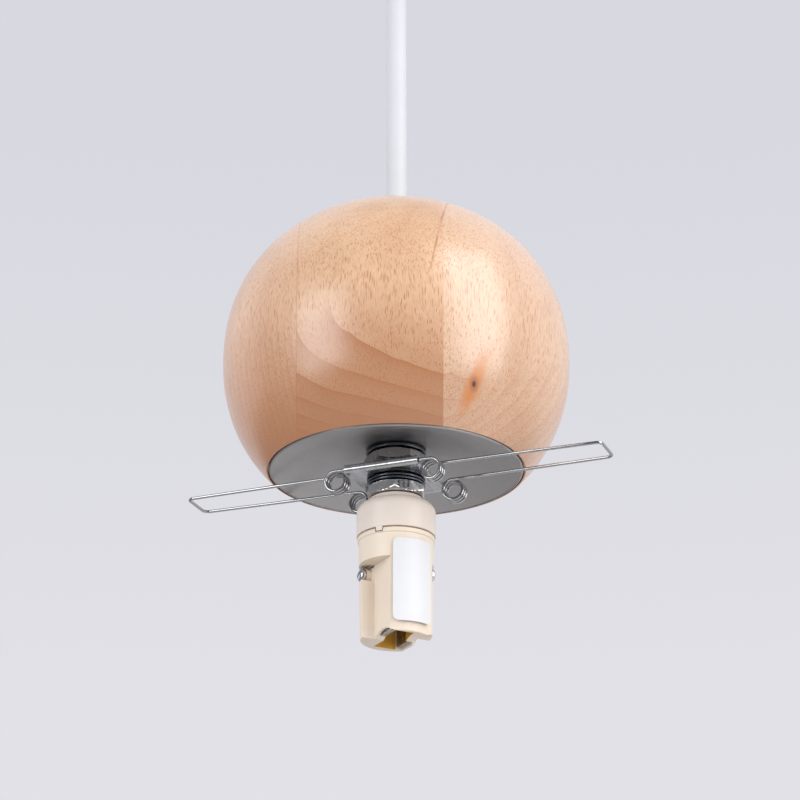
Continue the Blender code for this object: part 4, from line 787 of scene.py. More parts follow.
# How the ball darkens towards its foot: partly painted shade, partly darker wood
FOOT_SHADE_AND_WOOD_START = 0.004
FOOT_SHADE_AND_WOOD_END = -0.034
FOOT_SHADE_AND_WOOD_SHARE = 0.95
FOOT_SHADE_AND_WOOD_RIGHT_SHARE = 0.35

# Contrasts of the left, the middle and the right stave
LATE_CONTRAST_SHARES = (0.35, 0.90, 0.22)
EDGE_CONTRAST_SHARES = (0.25, 0.60, 0.22)
TONE_CONTRAST_SHARES = (0.25, 0.70, 0.15)

# Grounds, flecks, pores and clouds
LEFT_GROUND = (0.75, 0.490, 0.318)
RIGHT_GROUND = (0.78, 0.550, 0.380)
FLECK_WIDTH = 0.00038
FLECK_LENGTH = 0.0040
SMALL_WIDTH = 0.00030
SMALL_LENGTH = 0.0022
FINE_DETAIL = 3.0
WOOD_CLOUD_STRETCH_SHARES = (1.0, 1.0, 0.3)
WOOD_CLOUD_SCALE = 70.0
WOOD_CLOUD_SHARES = (0.35, 0.75)
WOOD_CLOUD_MIX_SHARE = 0.28
LATE_MIX_SHARE = 0.95
TONE_MIX_SHARE = 0.40
EDGE_MIX_SHARE = 0.75
PORE_MIX_SHARE = 0.30
SMALL_MIX_SHARE = 0.50
FLECK_MIX_SHARE = 0.85
WOOD_ROUGHNESS = 0.46
SMEAR_ROUGHNESS = 0.08
FLECK_ROUGHNESS = 0.10
SHALLOW_SHARE = 0.5
WOOD_BUMP_DEPTH = 0.00002
WOOD_BUMP_SHARE = 0.6

# The glue lines and the streak beside the right one
GLUE_LINE_HALF = 0.00009
LEFT_GLUE_MIX_SHARE = 0.5
RIGHT_GLUE_MIX_SHARE = 0.2
STREAK_TOP = 0.027
STREAK_LEAN_SHARE = 0.17
STREAK_FOOT = 0.006
STREAK_FADE = 0.004
STREAK_HALF = 0.00045
STREAK_SCALE = 260.0
STREAK_SHARES = (0.35, 0.6)
STREAK_MIX_SHARE = 0.85

# The knot, its halo and its dark heart
KNOT_PLACE = (0.0212, -0.0393, -0.0230)
KNOT_SHAPE = (1.5, 1.0, 0.8)
KNOT_HALO_SHAPE = (1.5, 0.6, 0.36)
KNOT_PULL_REACH = 0.014
KNOT_PULL = 1.1
KNOT_LEAN_SHARE = 0.40
KNOT_SMOKE_SCALE = 700.0
KNOT_SMOKE_DEPTH = 0.0012
HALO_OUTER = 0.0052
HALO_INNER = 0.0018
KNOT_OUTER = 0.0026
KNOT_INNER = 0.0010
HEART_OUTER = 0.0010
HEART_INNER = 0.0005
HALO_MIX_SHARE = 0.95
KNOT_MIX_SHARE = 0.9
KNOT_GLOW = (0.60, 0.205, 0.040)
KNOT_HEART = (0.03, 0.012, 0.006)


def make_metal(name, groups, tint, roughness, spread, cloud, tint_share):
    """A plated metal: its tint and gloss drift a little, and its skin has a very fine tooth."""
    material, tree, shader = new_material(name, Metallic=1.0)
    place = object_place(tree)
    marks = placed_group(tree, groups["handling"], Place=place, Cloud_Scale=cloud)
    dull = tuple(channel * tint_share for channel in tint)
    skin = mixed(tree, marks.outputs["Cloud"], tint, dull)
    tree.links.new(skin, shader.inputs["Base Color"])
    gloss = worked(tree, "ADD", roughness, worked(tree, "MULTIPLY", marks.outputs["Smear"], spread))
    tree.links.new(gloss, shader.inputs["Roughness"])
    add_bump(tree, shader, marks.outputs["Tooth"], METAL_TOOTH_DEPTH)
    return material


METAL_TOOTH_DEPTH = 0.000004


def make_moulded(name, groups, tint, shade_share, roughness, spread, depth):
    """A moulded or painted skin: soft clouds towards a darker shade, and a faint orange peel."""
    material, tree, shader = new_material(name)
    shade = darker(tint, shade_share)
    marks = placed_group(
        tree,
        groups["handling"],
        Place=object_place(tree),
        Cloud_Scale=MOULD_CLOUD_SCALE,
        Tooth_Scale=MOULD_PEEL_SCALE,
    )
    skin = tint
    for output, mix_share in (("Cloud", MOULD_CLOUD_SHARE), ("Smear", MOULD_SMEAR_SHARE)):
        skin = mixed(tree, worked(tree, "MULTIPLY", marks.outputs[output], mix_share), skin, shade)
    tree.links.new(skin, shader.inputs["Base Color"])
    gloss = worked(tree, "ADD", roughness, worked(tree, "MULTIPLY", marks.outputs["Smear"], spread))
    tree.links.new(gloss, shader.inputs["Roughness"])
    add_bump(tree, shader, marks.outputs["Tooth"], depth)
    return material


MOULD_CLOUD_SCALE = 70.0
MOULD_PEEL_SCALE = 1300.0
MOULD_CLOUD_SHARE = 0.55
MOULD_SMEAR_SHARE = 0.12


def make_disc_steel(groups, tint):
    """Spun steel: very fine rings about the axis and soft clouds, with a satin gloss."""
    material, tree, shader = new_material("Spun Steel", Metallic=1.0)
    place = object_place(tree)
    marks = placed_group(tree, groups["handling"], Place=place, Cloud_Scale=STEEL_CLOUD_SCALE)
    level = vectored(tree, "MULTIPLY", place, (1.0, 1.0, 0.0))
    reach = vectored(tree, "LENGTH", level)
    lines = add_node(
        tree,
        "ShaderNodeTexNoise",
        {"noise_dimensions": "1D"},
        W=reach,
        Scale=STEEL_LINE_SCALE,
        Detail=FINE_DETAIL,
    )
    clouded = worked(tree, "MULTIPLY", marks.outputs["Cloud"], STEEL_CLOUD_MIX_SHARE)
    skin = mixed(tree, clouded, tint, darker(tint, STEEL_CLOUD_TINT_SHARE))
    lined = ranged(tree, lines.outputs["Fac"], *STEEL_LINE_SHARES, 0.0, STEEL_LINE_MIX_SHARE)
    skin = mixed(tree, lined, skin, darker(tint, STEEL_LINE_TINT_SHARE))
    tree.links.new(skin, shader.inputs["Base Color"])
    smeared = worked(tree, "MULTIPLY", marks.outputs["Smear"], STEEL_SMEAR_ROUGHNESS)
    tree.links.new(worked(tree, "ADD", STEEL_ROUGHNESS, smeared), shader.inputs["Roughness"])
    add_bump(tree, shader, lines.outputs["Fac"], STEEL_BUMP_DEPTH, STEEL_BUMP_SHARE)
    return material


STEEL_CLOUD_SCALE = 40.0
STEEL_LINE_SCALE = 2600.0
STEEL_CLOUD_MIX_SHARE = 0.5
STEEL_CLOUD_TINT_SHARE = 0.88
STEEL_LINE_SHARES = (0.3, 0.7)
STEEL_LINE_MIX_SHARE = 0.18
STEEL_LINE_TINT_SHARE = 0.7
STEEL_ROUGHNESS = 0.36
STEEL_SMEAR_ROUGHNESS = 0.10
STEEL_BUMP_DEPTH = 0.000004
STEEL_BUMP_SHARE = 0.5


def make_rolled_plate(groups, tint):
    """Plated sheet drawn through rollers: fine lines across its length in the tint and the bump."""
    material, tree, shader = new_material("Rolled Plate", Metallic=1.0)
    place = object_place(tree)
    marks = placed_group(tree, groups["handling"], Place=place, Cloud_Scale=PLATE_CLOUD_SCALE)
    drawn_out = vectored(tree, "MULTIPLY", place, PLATE_STRETCH_SHARES)
    lines = noised(tree, drawn_out, PLATE_LINE_SCALE, FINE_DETAIL)
    lined = ranged(tree, lines, *PLATE_LINE_SHARES, 0.0, PLATE_LINE_MIX_SHARE)
    pale, dull = darker(tint, PLATE_PALE_SHARE), darker(tint, PLATE_DULL_SHARE)
    skin = mixed(tree, lined, pale, dull)
    smeared = worked(tree, "MULTIPLY", marks.outputs["Smear"], PLATE_SMEAR_MIX_SHARE)
    skin = mixed(tree, smeared, skin, darker(tint, PLATE_SMEAR_TINT_SHARE))
    tree.links.new(skin, shader.inputs["Base Color"])
    gloss = worked(tree, "ADD", PLATE_ROUGHNESS, worked(tree, "MULTIPLY", lines, PLATE_LINE_ROUGHNESS))
    tree.links.new(gloss, shader.inputs["Roughness"])
    add_bump(tree, shader, lines, PLATE_BUMP_DEPTH, PLATE_BUMP_SHARE)
    return material


PLATE_CLOUD_SCALE = 240.0
PLATE_STRETCH_SHARES = (1.0, 0.04, 0.04)
PLATE_LINE_SCALE = 1500.0
PLATE_LINE_SHARES = (0.35, 0.65)
PLATE_LINE_MIX_SHARE = 0.55
PLATE_PALE_SHARE = 0.95
PLATE_DULL_SHARE = 0.55
PLATE_SMEAR_MIX_SHARE = 0.3
PLATE_SMEAR_TINT_SHARE = 0.6
PLATE_ROUGHNESS = 0.16
PLATE_LINE_ROUGHNESS = 0.12
PLATE_BUMP_DEPTH = 0.00002
PLATE_BUMP_SHARE = 0.6


def make_body_resin(groups, holder):
    """The moulded body's cream, with painted shade inside the lamp slot: amber, as where light only comes
    through the resin.
    """
    material = make_moulded("Body Resin", groups, holder.body_cream, *BODY_RESIN, MOULD_PEEL_DEPTH)
    tree = material.node_tree
    shader = tree.nodes["Principled BSDF"]
    place = add_node(tree, "ShaderNodeMapping", Vector=object_place(tree))
    place.inputs["Rotation"].default_value = (0, 0, -holder.turn)
    parts = add_node(tree, "ShaderNodeSeparateXYZ", Vector=place.outputs["Vector"])
    # Mask of the slot's inside, where shade and light through the walls are painted
    inside = 1.0
    for axis, half in (("X", holder.slot_length / 2), ("Y", holder.slot_width / 2)):
        off = worked(tree, "ABSOLUTE", parts.outputs[axis])
        within = ranged(tree, off, half + SLOT_FADE, half + SLOT_FADE / 2)
        inside = worked(tree, "MULTIPLY", within, inside)
    roof = HOLDER_FOOT_Z + holder.slot_depth
    below = ranged(tree, parts.outputs["Z"], roof + FIT_GAP, roof)
    inside = worked(tree, "MULTIPLY", inside, below)
    cream = shader.inputs["Base Color"].links[0].from_socket
    # Painted shade inside the slot, amber from light through the resin
    tree.links.new(mixed(tree, inside, cream, SLOT_PAINTED_SHADE), shader.inputs["Base Color"])
    return material


# Shade share, roughness and its spread
BODY_RESIN = (0.93, 0.38, 0.10)
# Painted shade inside the lamp slot, amber from light through the resin
SLOT_PAINTED_SHADE = (0.66, 0.36, 0.05)
SLOT_FADE = 0.00018


def darker(tint, by):
    """A colour's darker shade."""
    return tuple(channel * by for channel in tint)


def make_finishes(scene):
    """Makes every material once."""
    groups = {
        "handling": make_handling_group(),
        "stave": make_stave_group(),
        "fleck": make_fleck_group(),
    }
    metal, holder, cord = scene.pendant_metal, scene.pendant_holder, scene.pendant_cord
    made = Finishes.made
    made["beech"] = make_beech(scene.pendant_ball, ball_centre_z(scene.pendant_ball), groups)
    made["steel"] = make_disc_steel(groups, metal.steel)
    made["rolled"] = make_rolled_plate(groups, metal.zinc)
    made["body"] = make_body_resin(groups, holder)
    wire = darker(metal.zinc, WIRE_TINT_SHARE)
    for key, name, tint, roughness, spread, cloud, tint_share in (
        ("zinc", "Bright Zinc", metal.zinc, 0.20, 0.12, SLOW_CLOUDS, DULL_SHARE),
        ("nut", "Nut Plating", metal.zinc, 0.09, 0.10, 420.0, 0.85),
        # The upper nut's zinc in painted shade: the disc steel's darker tint stands in for the dish's
        # shade
        ("shaded", "Dull Plating", metal.steel, 0.26, 0.05, SLOW_CLOUDS, DULL_SHARE),
        ("wire", "Spring Wire", wire, 0.09, 0.05, 300.0, DULL_SHARE),
        ("dark", "Dark Plating", metal.dark, 0.14, 0.06, SLOW_CLOUDS, DULL_SHARE),
        ("brass", "Brass", metal.brass, 0.28, 0.12, SLOW_CLOUDS, DULL_SHARE),
        ("nickel", "Nickel Strip", metal.nickel, 0.24, 0.14, SLOW_CLOUDS, DULL_SHARE),
    ):
        made[key] = make_metal(name, groups, tint, roughness, spread, cloud, tint_share)
    for key, name, tint, shade_share, roughness, spread, depth in (
        ("cap", "Cap Resin", holder.cap_cream, 0.94, 0.36, 0.08, MOULD_PEEL_DEPTH),
        ("label", "Bare Label", holder.label_white, 0.97, 0.42, 0.06, LABEL_PEEL_DEPTH),
        ("sheath", "Cord Sheath", cord.sheath, 0.95, 0.44, 0.08, MOULD_PEEL_DEPTH),
        ("paint", "Rose Paint", cord.paint, 0.97, 0.34, 0.06, MOULD_PEEL_DEPTH),
        ("nylon", "Grip Nylon", cord.nylon, 0.95, 0.46, 0.08, MOULD_PEEL_DEPTH),
        ("brown", "Live Core", cord.brown, 0.8, 0.42, 0.08, MOULD_PEEL_DEPTH),
        ("blue", "Neutral Core", cord.blue, 0.8, 0.42, 0.08, MOULD_PEEL_DEPTH),
    ):
        made[key] = make_moulded(name, groups, tint, shade_share, roughness, spread, depth)


SLOW_CLOUDS = 120.0
DULL_SHARE = 0.92
WIRE_TINT_SHARE = 0.72
MOULD_PEEL_DEPTH = 0.000012
LABEL_PEEL_DEPTH = 0.000006


# Shapes that more than one piece uses


def nut_shape(across_flats, bore_radius, foot, top, corner_turn):
    """A hexagon nut. At each angle the outside is the least of the hexagon's radius, its blunted
    corner and the two chamfer cones, whose radius grows by the tangent of 60 degrees."""
    flat = across_flats / 2
    turns = corner_turn + np.linspace(0, FULL_TURN, NUT_STEPS, endpoint=False)
    from_flat = (turns - corner_turn) % (math.pi / 3) - math.pi / 6
    hexagon = np.minimum(flat / np.cos(from_flat), flat * NUT_CORNER_SHARE)
    depth = np.linspace(0, 1, NUT_CHAMFER_ROWS) * flat * NUT_CHAMFER_SHARE
    heights = np.concatenate([top - depth, foot + depth[::-1]])
    cone = flat * NUT_FACE_SHARE + np.minimum(top - heights, heights - foot) * math.tan(math.pi / 3)
    outside = np.minimum(hexagon[None, :], cone[:, None])
    lip = bore_radius + (flat - bore_radius) * NUT_LIP_SHARE
    slope = lip - bore_radius
    rings = [(bore_radius, foot + slope), (bore_radius, top - slope), (lip, top)]
    inside = np.array([[radius] * NUT_STEPS for radius, _ in rings])
    last = np.array([[lip] * NUT_STEPS])
    radius = np.vstack([inside, outside, last])
    height = np.concatenate([[ring[1] for ring in rings], heights, [foot]])[:, None]
    grid = np.stack([radius * np.cos(turns), radius * np.sin(turns), height + 0 * turns], axis=-1)
    return patch(grid, wrap_rows=True)


NUT_STEPS = 120
NUT_CORNER_SHARE = 1.145
NUT_CHAMFER_SHARE = 0.11
NUT_CHAMFER_ROWS = 8
NUT_FACE_SHARE = 0.975
NUT_LIP_SHARE = 0.10


def pan_screw_profile(shank, head, seat, tip, top):
    """A pan head over a shank: an elliptic dome, a short upright side and a rounded seat."""
    dome = np.linspace(0, math.pi / 2, DOME_POINTS)
    rise = (top - seat) * DOME_SHARE
    width = head * np.sin(dome) ** DOME_POWER
    crown = np.stack([width, top - rise * (1 - np.cos(dome))], axis=1)
    point = shank * SCREW_POINT_SHARE
    foot = [(head, seat), (shank, seat), (shank, tip + shank - point), (point, tip), (0, tip)]
    return np.vstack([crown, foot])


DOME_POINTS = 14
DOME_SHARE = 0.72
DOME_POWER = 0.85
SCREW_POINT_SHARE = 0.6


def rod_shape(radius, reach, sides):
    """A plain round bar along Z, from the origin."""
    return turned([(0, 0), (radius, 0), (radius, reach), (0, reach)], sides)


# Operators


def holder_points(points, turn):
    """Points in the holder's own axes, along and across its slot, turned into the lamp's."""
    return spun(np.asarray(points, float), turn)


def ball_centre_z(ball):
    """Height of the ball's centre: its cord hole's edge lies at the cord's foot, and the profile
    there is the half height times the root of one less the radius share to the same power."""
    edge = (CORD_RADIUS + BORE_GAP + ball.mouth_rounding) / ball_radius()
    rise = ball.half_height * (1 - edge**ball.squareness) ** (1 / ball.squareness)
    return CORD_FOOT[2] - rise


def ball_radius():
    """Half the ball's width."""
    low, high = extent("wood_ball")
    return (high[1] - low[1]) / 2


class PENDANT_OT_materials(bpy.types.Operator):
    """Mix the wood, metal, resin and sheath finishes"""

    bl_idname = "pendant.make_finishes"
    bl_label = "Mix the Finishes"

    def execute(self, context):
        make_finishes(context.scene)
        return {"FINISHED"}


class PENDANT_OT_stage(bpy.types.Operator):
    """Set up the camera, the softboxes, the even light and the floor with its painted light"""

    bl_idname = "pendant.set_stage"
    bl_label = "Set the Stage"

    def execute(self, context):
        stage = context.scene.pendant_stage
        centre = np.array([0, 0, ball_centre_z(context.scene.pendant_ball)])
        self.add_camera(context, stage, centre)
        self.add_world(context.scene, stage)
        self.add_softboxes(context.scene, stage, centre)
        self.add_floor(stage)
        context.scene.view_settings.view_transform = "Standard"
        return {"FINISHED"}

    def add_camera(self, context, stage, centre):
        """The camera stands below and in front of the ball and looks up past its centre."""
        data = bpy.data.cameras.new("Camera")
        data.sensor_width = SENSOR_WIDTH
        data.lens = stage.lens
        data.clip_start = CLIP_START
        data.clip_end = CLIP_END
        camera = bpy.data.objects.new("Camera", data)
        context.scene.collection.objects.link(camera)
        stand = spun(np.array([CAMERA_SIDE, CAMERA_BACK, CAMERA_DROP]), stage.swing)
        camera.location = centre + stand
        camera.rotation_euler = Euler((math.pi / 2 + stage.look_up, 0, stage.swing))
        context.scene.camera = camera

    def add_world(self, scene, stage):
        """Even light for the object, and the backdrop's own colour where a ray meets it."""
        world = bpy.data.worlds.new("Studio")
        world.use_nodes = True
        scene.world = world
        tree = world.node_tree
        tree.nodes.clear()
        way = add_node(tree, "ShaderNodeTexCoord").outputs["Generated"]
        rise = add_node(tree, "ShaderNodeSeparateXYZ", Vector=way).outputs["Z"]
        upwards = ranged(tree, rise, BACKDROP_LOW_RISE, BACKDROP_HIGH_RISE, smooth=True)
        seen_colour = mixed(tree, upwards, stage.backdrop_foot, stage.backdrop_top)
        ahead = vectored(tree, "DOT_PRODUCT", way, tuple(spun(np.array([0, 1.0, 0]), stage.swing)))
        path = add_node(tree, "ShaderNodeLightPath")
        room = ranged(tree, ahead, *ROOM_START_SHARES)
        room = worked(tree, "MULTIPLY", room, path.outputs["Is Glossy Ray"])
        seen_colour = mixed(tree, room, seen_colour, ROOM_GREY)
        seen = add_node(tree, "ShaderNodeBackground", Color=seen_colour, Strength=1.0)
        light = mixed(tree, ranged(tree, rise, *SKY_RISE_SHARES), GROUND_LIGHT, SKY_LIGHT)
        for side_way, gain in SIDE_LIGHTS:
            side_way = tuple(spun(np.array(side_way), stage.swing))
            towards = vectored(tree, "DOT_PRODUCT", way, side_way)
            gained = ranged(tree, towards, 0.0, 1.0, 1.0, 1.0 + gain)
            light = vectored(tree, "SCALE", light)
            fill_socket(tree, light.node.inputs["Scale"], gained)
        even = add_node(tree, "ShaderNodeBackground", Color=light, Strength=stage.ambient)
        shown = worked(tree, "MAXIMUM", path.outputs["Is Camera Ray"], path.outputs["Is Glossy Ray"])
        shown = worked(tree, "MAXIMUM", shown, path.outputs["Is Transmission Ray"])
        both = add_node(tree, "ShaderNodeMixShader", Fac=shown)
        tree.links.new(even.outputs[0], both.inputs[1])
        tree.links.new(seen.outputs[0], both.inputs[2])
        output = add_node(tree, "ShaderNodeOutputWorld")
        tree.links.new(both.outputs[0], output.inputs["Surface"])

    def add_softboxes(self, scene, stage, centre):
        """Two large softboxes and a weak top light, each facing the ball's centre."""
        for name, way, far, size, power, tint in (
            ("Key Softbox", KEY_WAY, SOFTBOX_FAR, KEY_SIZE, stage.key, KEY_TINT),
            ("Fill Softbox", FILL_WAY, SOFTBOX_FAR, FILL_SIZE, stage.fill, FILL_TINT),
            ("Top Softbox", TOP_WAY, TOP_FAR, TOP_SIZE, TOP_POWER, FILL_TINT),
        ):
            data = bpy.data.lights.new(name, "AREA")
            data.shape = "RECTANGLE"
            data.size, data.size_y = size
            data.energy = power
            data.color = tint
            lamp = bpy.data.objects.new(name, data)
            scene.collection.objects.link(lamp)
            way = spun(np.array(way), stage.swing)
            lamp.location = centre + way / np.linalg.norm(way) * far
            facing = Vector(centre.tolist()) - lamp.location
            lamp.rotation_euler = facing.to_track_quat("-Z", "Y").to_euler()

    def add_floor(self, stage):
        """A wide round floor, a fan of rings from its middle. Where the camera and reflections see it,
        light is painted on it: bright ahead and to the right, darker behind and to the left.
        """
        rings = np.linspace(0, 1, FLOOR_RINGS) ** 2 * FLOOR_REACH
        turns = np.linspace(0, FULL_TURN, FLOOR_STEPS, endpoint=False)
        grid = np.stack(
            [
                rings[:, None] * np.cos(turns),
                rings[:, None] * np.sin(turns),
                np.full((FLOOR_RINGS, FLOOR_STEPS), -stage.floor_drop),
            ],
            axis=-1,
        )
        floor = mesh_object("floor", [patch(grid)])
        material, tree, shader = new_material("Plain Floor", Roughness=0.7, Specular_IOR_Level=0.2)
        place = object_place(tree)
        drift = ranged(tree, noised(tree, place, FLOOR_DRIFT_SCALE), *FLOOR_DRIFT_SHARES)
        tint = mixed(tree, drift, stage.floor, darker(stage.floor, FLOOR_DRIFT_TINT_SHARE))
        path = add_node(tree, "ShaderNodeLightPath")
        shown = worked(tree, "MAXIMUM", path.outputs["Is Camera Ray"], path.outputs["Is Glossy Ray"])
        ahead = vectored(tree, "DOT_PRODUCT", place, tuple(spun(np.array([0, 1.0, 0]), stage.swing)))
        across = vectored(tree, "DOT_PRODUCT", place, tuple(spun(np.array([1.0, 0, 0]), stage.swing)))
        # Painted light for camera and glossy rays: brighter ahead and to the right, darker behind and to
        # the left
        painted_floor_light = ranged(tree, ahead, *FLOOR_AHEAD, FLOOR_PAINTED_LIGHT_BEHIND_SHARE, 1.0, smooth=True)
        painted_light_across = ranged(tree, across, *FLOOR_ACROSS, FLOOR_PAINTED_LIGHT_LEFT_SHARE, 1.0)
        painted_floor_light = worked(tree, "MULTIPLY", painted_floor_light, painted_light_across)
        tint = mixed(tree, painted_floor_light, darker(stage.floor, FLOOR_PAINTED_SHADE_SHARE), tint)
        tint = mixed(tree, shown, darker(stage.floor, FLOOR_BOUNCE_SHARE), tint)
        tree.links.new(tint, shader.inputs["Base Color"])
        floor.data.materials.append(material)


SENSOR_WIDTH = 36.0
CLIP_START = 0.02
CLIP_END = 60.0
CAMERA_SIDE = 0.00107
CAMERA_BACK = -0.6967
CAMERA_DROP = -0.3035
BACKDROP_LOW_RISE = 0.22
BACKDROP_HIGH_RISE = 0.52
ROOM_GREY = (0.10, 0.10, 0.11)
GROUND_LIGHT = (0.86, 0.84, 0.83)
SKY_LIGHT = (1.0, 1.0, 1.0)
SKY_RISE_SHARES = (-0.4, 0.9)
ROOM_START_SHARES = (0.30, -0.15)

# Where the even light is stronger, and by how much
SIDE_LIGHTS = (
    ((-0.85, -0.50, -0.15), 1.2),
    ((0.85, -0.40, -0.35), 1.3),
    ((0.0, -1.0, -0.1), 0.12),
)
SOFTBOX_FAR = 1.5
TOP_FAR = 1.4
KEY_SIZE = (1.00, 2.20)
FILL_SIZE = (0.85, 1.20)
TOP_SIZE = (2.6, 2.6)
KEY_WAY = (0.779, -0.524, 0.300)
KEY_TINT = (1.0, 0.985, 0.96)
FILL_WAY = (-0.755, -0.649, 0.074)
FILL_TINT = (0.96, 0.98, 1.0)
TOP_WAY = (0.15, 0.2, 1.0)
TOP_POWER = 4.0
FLOOR_REACH = 9.0
FLOOR_RINGS = 9
FLOOR_STEPS = 96
FLOOR_DRIFT_SCALE = 1.5
FLOOR_DRIFT_SHARES = (0.3, 0.7)
FLOOR_DRIFT_TINT_SHARE = 0.98
FLOOR_AHEAD = (-1.6, 0.2)
FLOOR_ACROSS = (-1.6, 1.0)
FLOOR_BOUNCE_SHARE = 1.0
# Shares of the floor's painted light behind and to the left, and its darkest painted shade
FLOOR_PAINTED_LIGHT_BEHIND_SHARE = 0.20
FLOOR_PAINTED_LIGHT_LEFT_SHARE = 0.25
FLOOR_PAINTED_SHADE_SHARE = 0.12


class PENDANT_OT_cord(bpy.types.Operator):
    """Run the round cord from the grip down to the ball, with the grip that it ends in"""

    bl_idname = "pendant.run_cord"
    bl_label = "Run the Cord"

    def execute(self, context):
        grip = self.make_grip(Finishes.made["nylon"])
        rises = np.linspace(CORD_FOOT[2], CORD_TOP[2], CORD_POINTS)
        dome = np.linspace(0, math.pi / 2, CORD_DOME_POINTS)[1:]
        heights = np.concatenate(
            [
                CORD_FOOT[2] - CORD_RADIUS * np.sin(dome[::-1]),
                rises,
                CORD_TOP[2] + CORD_RADIUS * np.sin(dome),
            ]
        )
        ends = np.cos(dome)
        radii = CORD_RADIUS * np.concatenate([ends[::-1], np.ones(CORD_POINTS), ends])
        path = np.stack([0 * heights, 0 * heights, heights], axis=1)
        facing = np.tile([1.0, 0, 0], (len(path), 1))
        cord = smoothed(mesh_object("round_cord", [swept(path, facing, radii, CORD_SIDES)]))
        finished(cord, Finishes.made["sheath"], "cord", "white_sheath", "cord")
        dress_node("cord_tail", Finishes.made["sheath"])
        dress_node("cord_inner", Finishes.made["sheath"])
        return {"FINISHED"}

    def make_grip(self, material):
        """The moulded grip: a sleeve that tapers to its mouth, and a stem into the rose."""
        low, high = extent("cord_grip")
        reach = high[0]
        bore = CORD_RADIUS + BORE_GAP
        shoulder = extent("rose_cup")[0][2] - FIT_GAP
        corners = [
            (bore, high[2]),
            (GRIP_STEM, high[2]),
            (GRIP_STEM, shoulder),
            (reach, shoulder),
            (reach, low[2] + GRIP_TAPER),
            (GRIP_MOUTH, low[2]),
            (bore, low[2]),
        ]
        outline = rounded(corners, GRIP_ROUNDINGS, GRIP_ARC_STEPS)
        grip = mesh_object("moulded_grip", [turned(outline, GRIP_STEPS)])
        screw_low, screw_high = extent("grip_screw")
        start = (bore - GRIP_HOLE_START, 0, (screw_low[2] + screw_high[2]) / 2)
        hole = rod_shape(GRIP_HOLE_RADIUS, GRIP_HOLE_REACH, HOLE_SIDES)
        carved(grip, [aimed(hole, start, (1, 0, 0))])
        return finished(smoothed(grip), material, "ceiling", "white_nylon", "cord_grip")


GRIP_STEM = 0.0050
GRIP_TAPER = 0.0060
GRIP_MOUTH = 0.0050
GRIP_ROUNDINGS = (0, 0.0004, 0, 0.0007, 0.0040, 0.0008, 0.0003)
GRIP_ARC_STEPS = 8
GRIP_STEPS = 96
GRIP_HOLE_RADIUS = 0.0018
GRIP_HOLE_REACH = 0.020
GRIP_HOLE_START = 0.001
CORD_POINTS = 41
CORD_DOME_POINTS = 9
CORD_SIDES = 48


class PENDANT_OT_ball(bpy.types.Operator):
    """Turn the beech ball with its cord hole, clamp bore, chamber and the disc's recess"""

    bl_idname = "pendant.turn_ball"
    bl_label = "Turn the Ball"

    def execute(self, context):
        ball = context.scene.pendant_ball
        centre = ball_centre_z(ball)
        radius = ball_radius()
        foot = extent("wood_ball")[0][2]
        bore = CORD_RADIUS + BORE_GAP
        power = 2 / ball.squareness
        top_turn = math.acos(((bore + ball.mouth_rounding) / radius) ** (1 / power))
        foot_turn = -math.asin(((centre - foot) / ball.half_height) ** (1 / power))
        turns = np.linspace(top_turn, foot_turn, BALL_ROWS)
        outer = np.stack(
            [
                radius * np.cos(turns) ** power,
                centre + ball.half_height * np.sign(turns) * np.abs(np.sin(turns)) ** power,
            ],
            axis=1,
        )
        disc_low, disc_high = extent("base_disc")
        metal = context.scene.pendant_metal
        recess = disc_high[0] + DISC_SEAM
        dish = dish_profile(metal, disc_low, disc_high)[::-1]
        dish = dish[dish[:, 0] > CHAMBER_RADIUS] + np.array([0, metal.disc_thickness + FIT_GAP])
        ceiling = extent("anchor_plate")[1][2] + FIT_GAP
        seat = np.vstack([[(recess, foot), (recess, dish[0, 1])], dish])
        inner = rounded(
            [
                (CHAMBER_RADIUS, dish[-1, 1]),
                (CHAMBER_RADIUS, ceiling),
                (CLAMP_BORE, ceiling),
                (CLAMP_BORE, centre + CLAMP_BORE_RISE),
                (bore, centre + CLAMP_BORE_RISE),
                (bore, CORD_FOOT[2] - ball.mouth_rounding),
            ],
            BALL_ROUNDINGS,
        )
        lip = np.linspace(0, math.pi / 2, MOUTH_POINTS)[1:-1]
        mouth = np.stack(
            [
                bore + ball.mouth_rounding * (1 - np.cos(lip)),
                CORD_FOOT[2] - ball.mouth_rounding * (1 - np.sin(lip)),
            ],
            axis=1,
        )
        profile = np.vstack([outer, seat, inner, mouth])
        body = smoothed(mesh_object("beech_ball", [turned(profile, BALL_STEPS)]), BALL_SHARP_ANGLE)
        finished(body, Finishes.made["beech"], "lamp", "beech", "wood_ball")
        return {"FINISHED"}


BALL_ROWS = 110
BALL_STEPS = 200
BALL_SHARP_ANGLE = math.radians(40)
BALL_ROUNDINGS = (0, 0.0010, 0.0005, 0.0008, 0.0004, 0)
MOUTH_POINTS = 7
DISC_SEAM = 0.0005
CHAMBER_RADIUS = 0.026
CLAMP_BORE = 0.013
CLAMP_BORE_RISE = 0.0090


class PENDANT_OT_disc(bpy.types.Operator):
    """Spin the dished steel disc that closes the ball's foot"""

    bl_idname = "pendant.spin_disc"
    bl_label = "Spin the Disc"

    def execute(self, context):
        metal = context.scene.pendant_metal
        low, high = extent("base_disc")
        dish = dish_profile(metal, low, high)
        rim = high[0]
        top = dish + np.array([0, metal.disc_thickness])
        turn = np.linspace(0, math.pi, DISC_EDGE_POINTS)
        half = metal.disc_thickness / 2
        edge = np.stack([rim - half + half * np.sin(turn), low[2] + half + half * np.cos(turn)], axis=1)
        profile = np.vstack([top, edge, dish[::-1]])
        disc = smoothed(mesh_object("steel_disc", [turned(profile, DISC_STEPS)]))
        finished(disc, Finishes.made["steel"], "lamp", "brushed_steel", "base_disc")
        return {"FINISHED"}


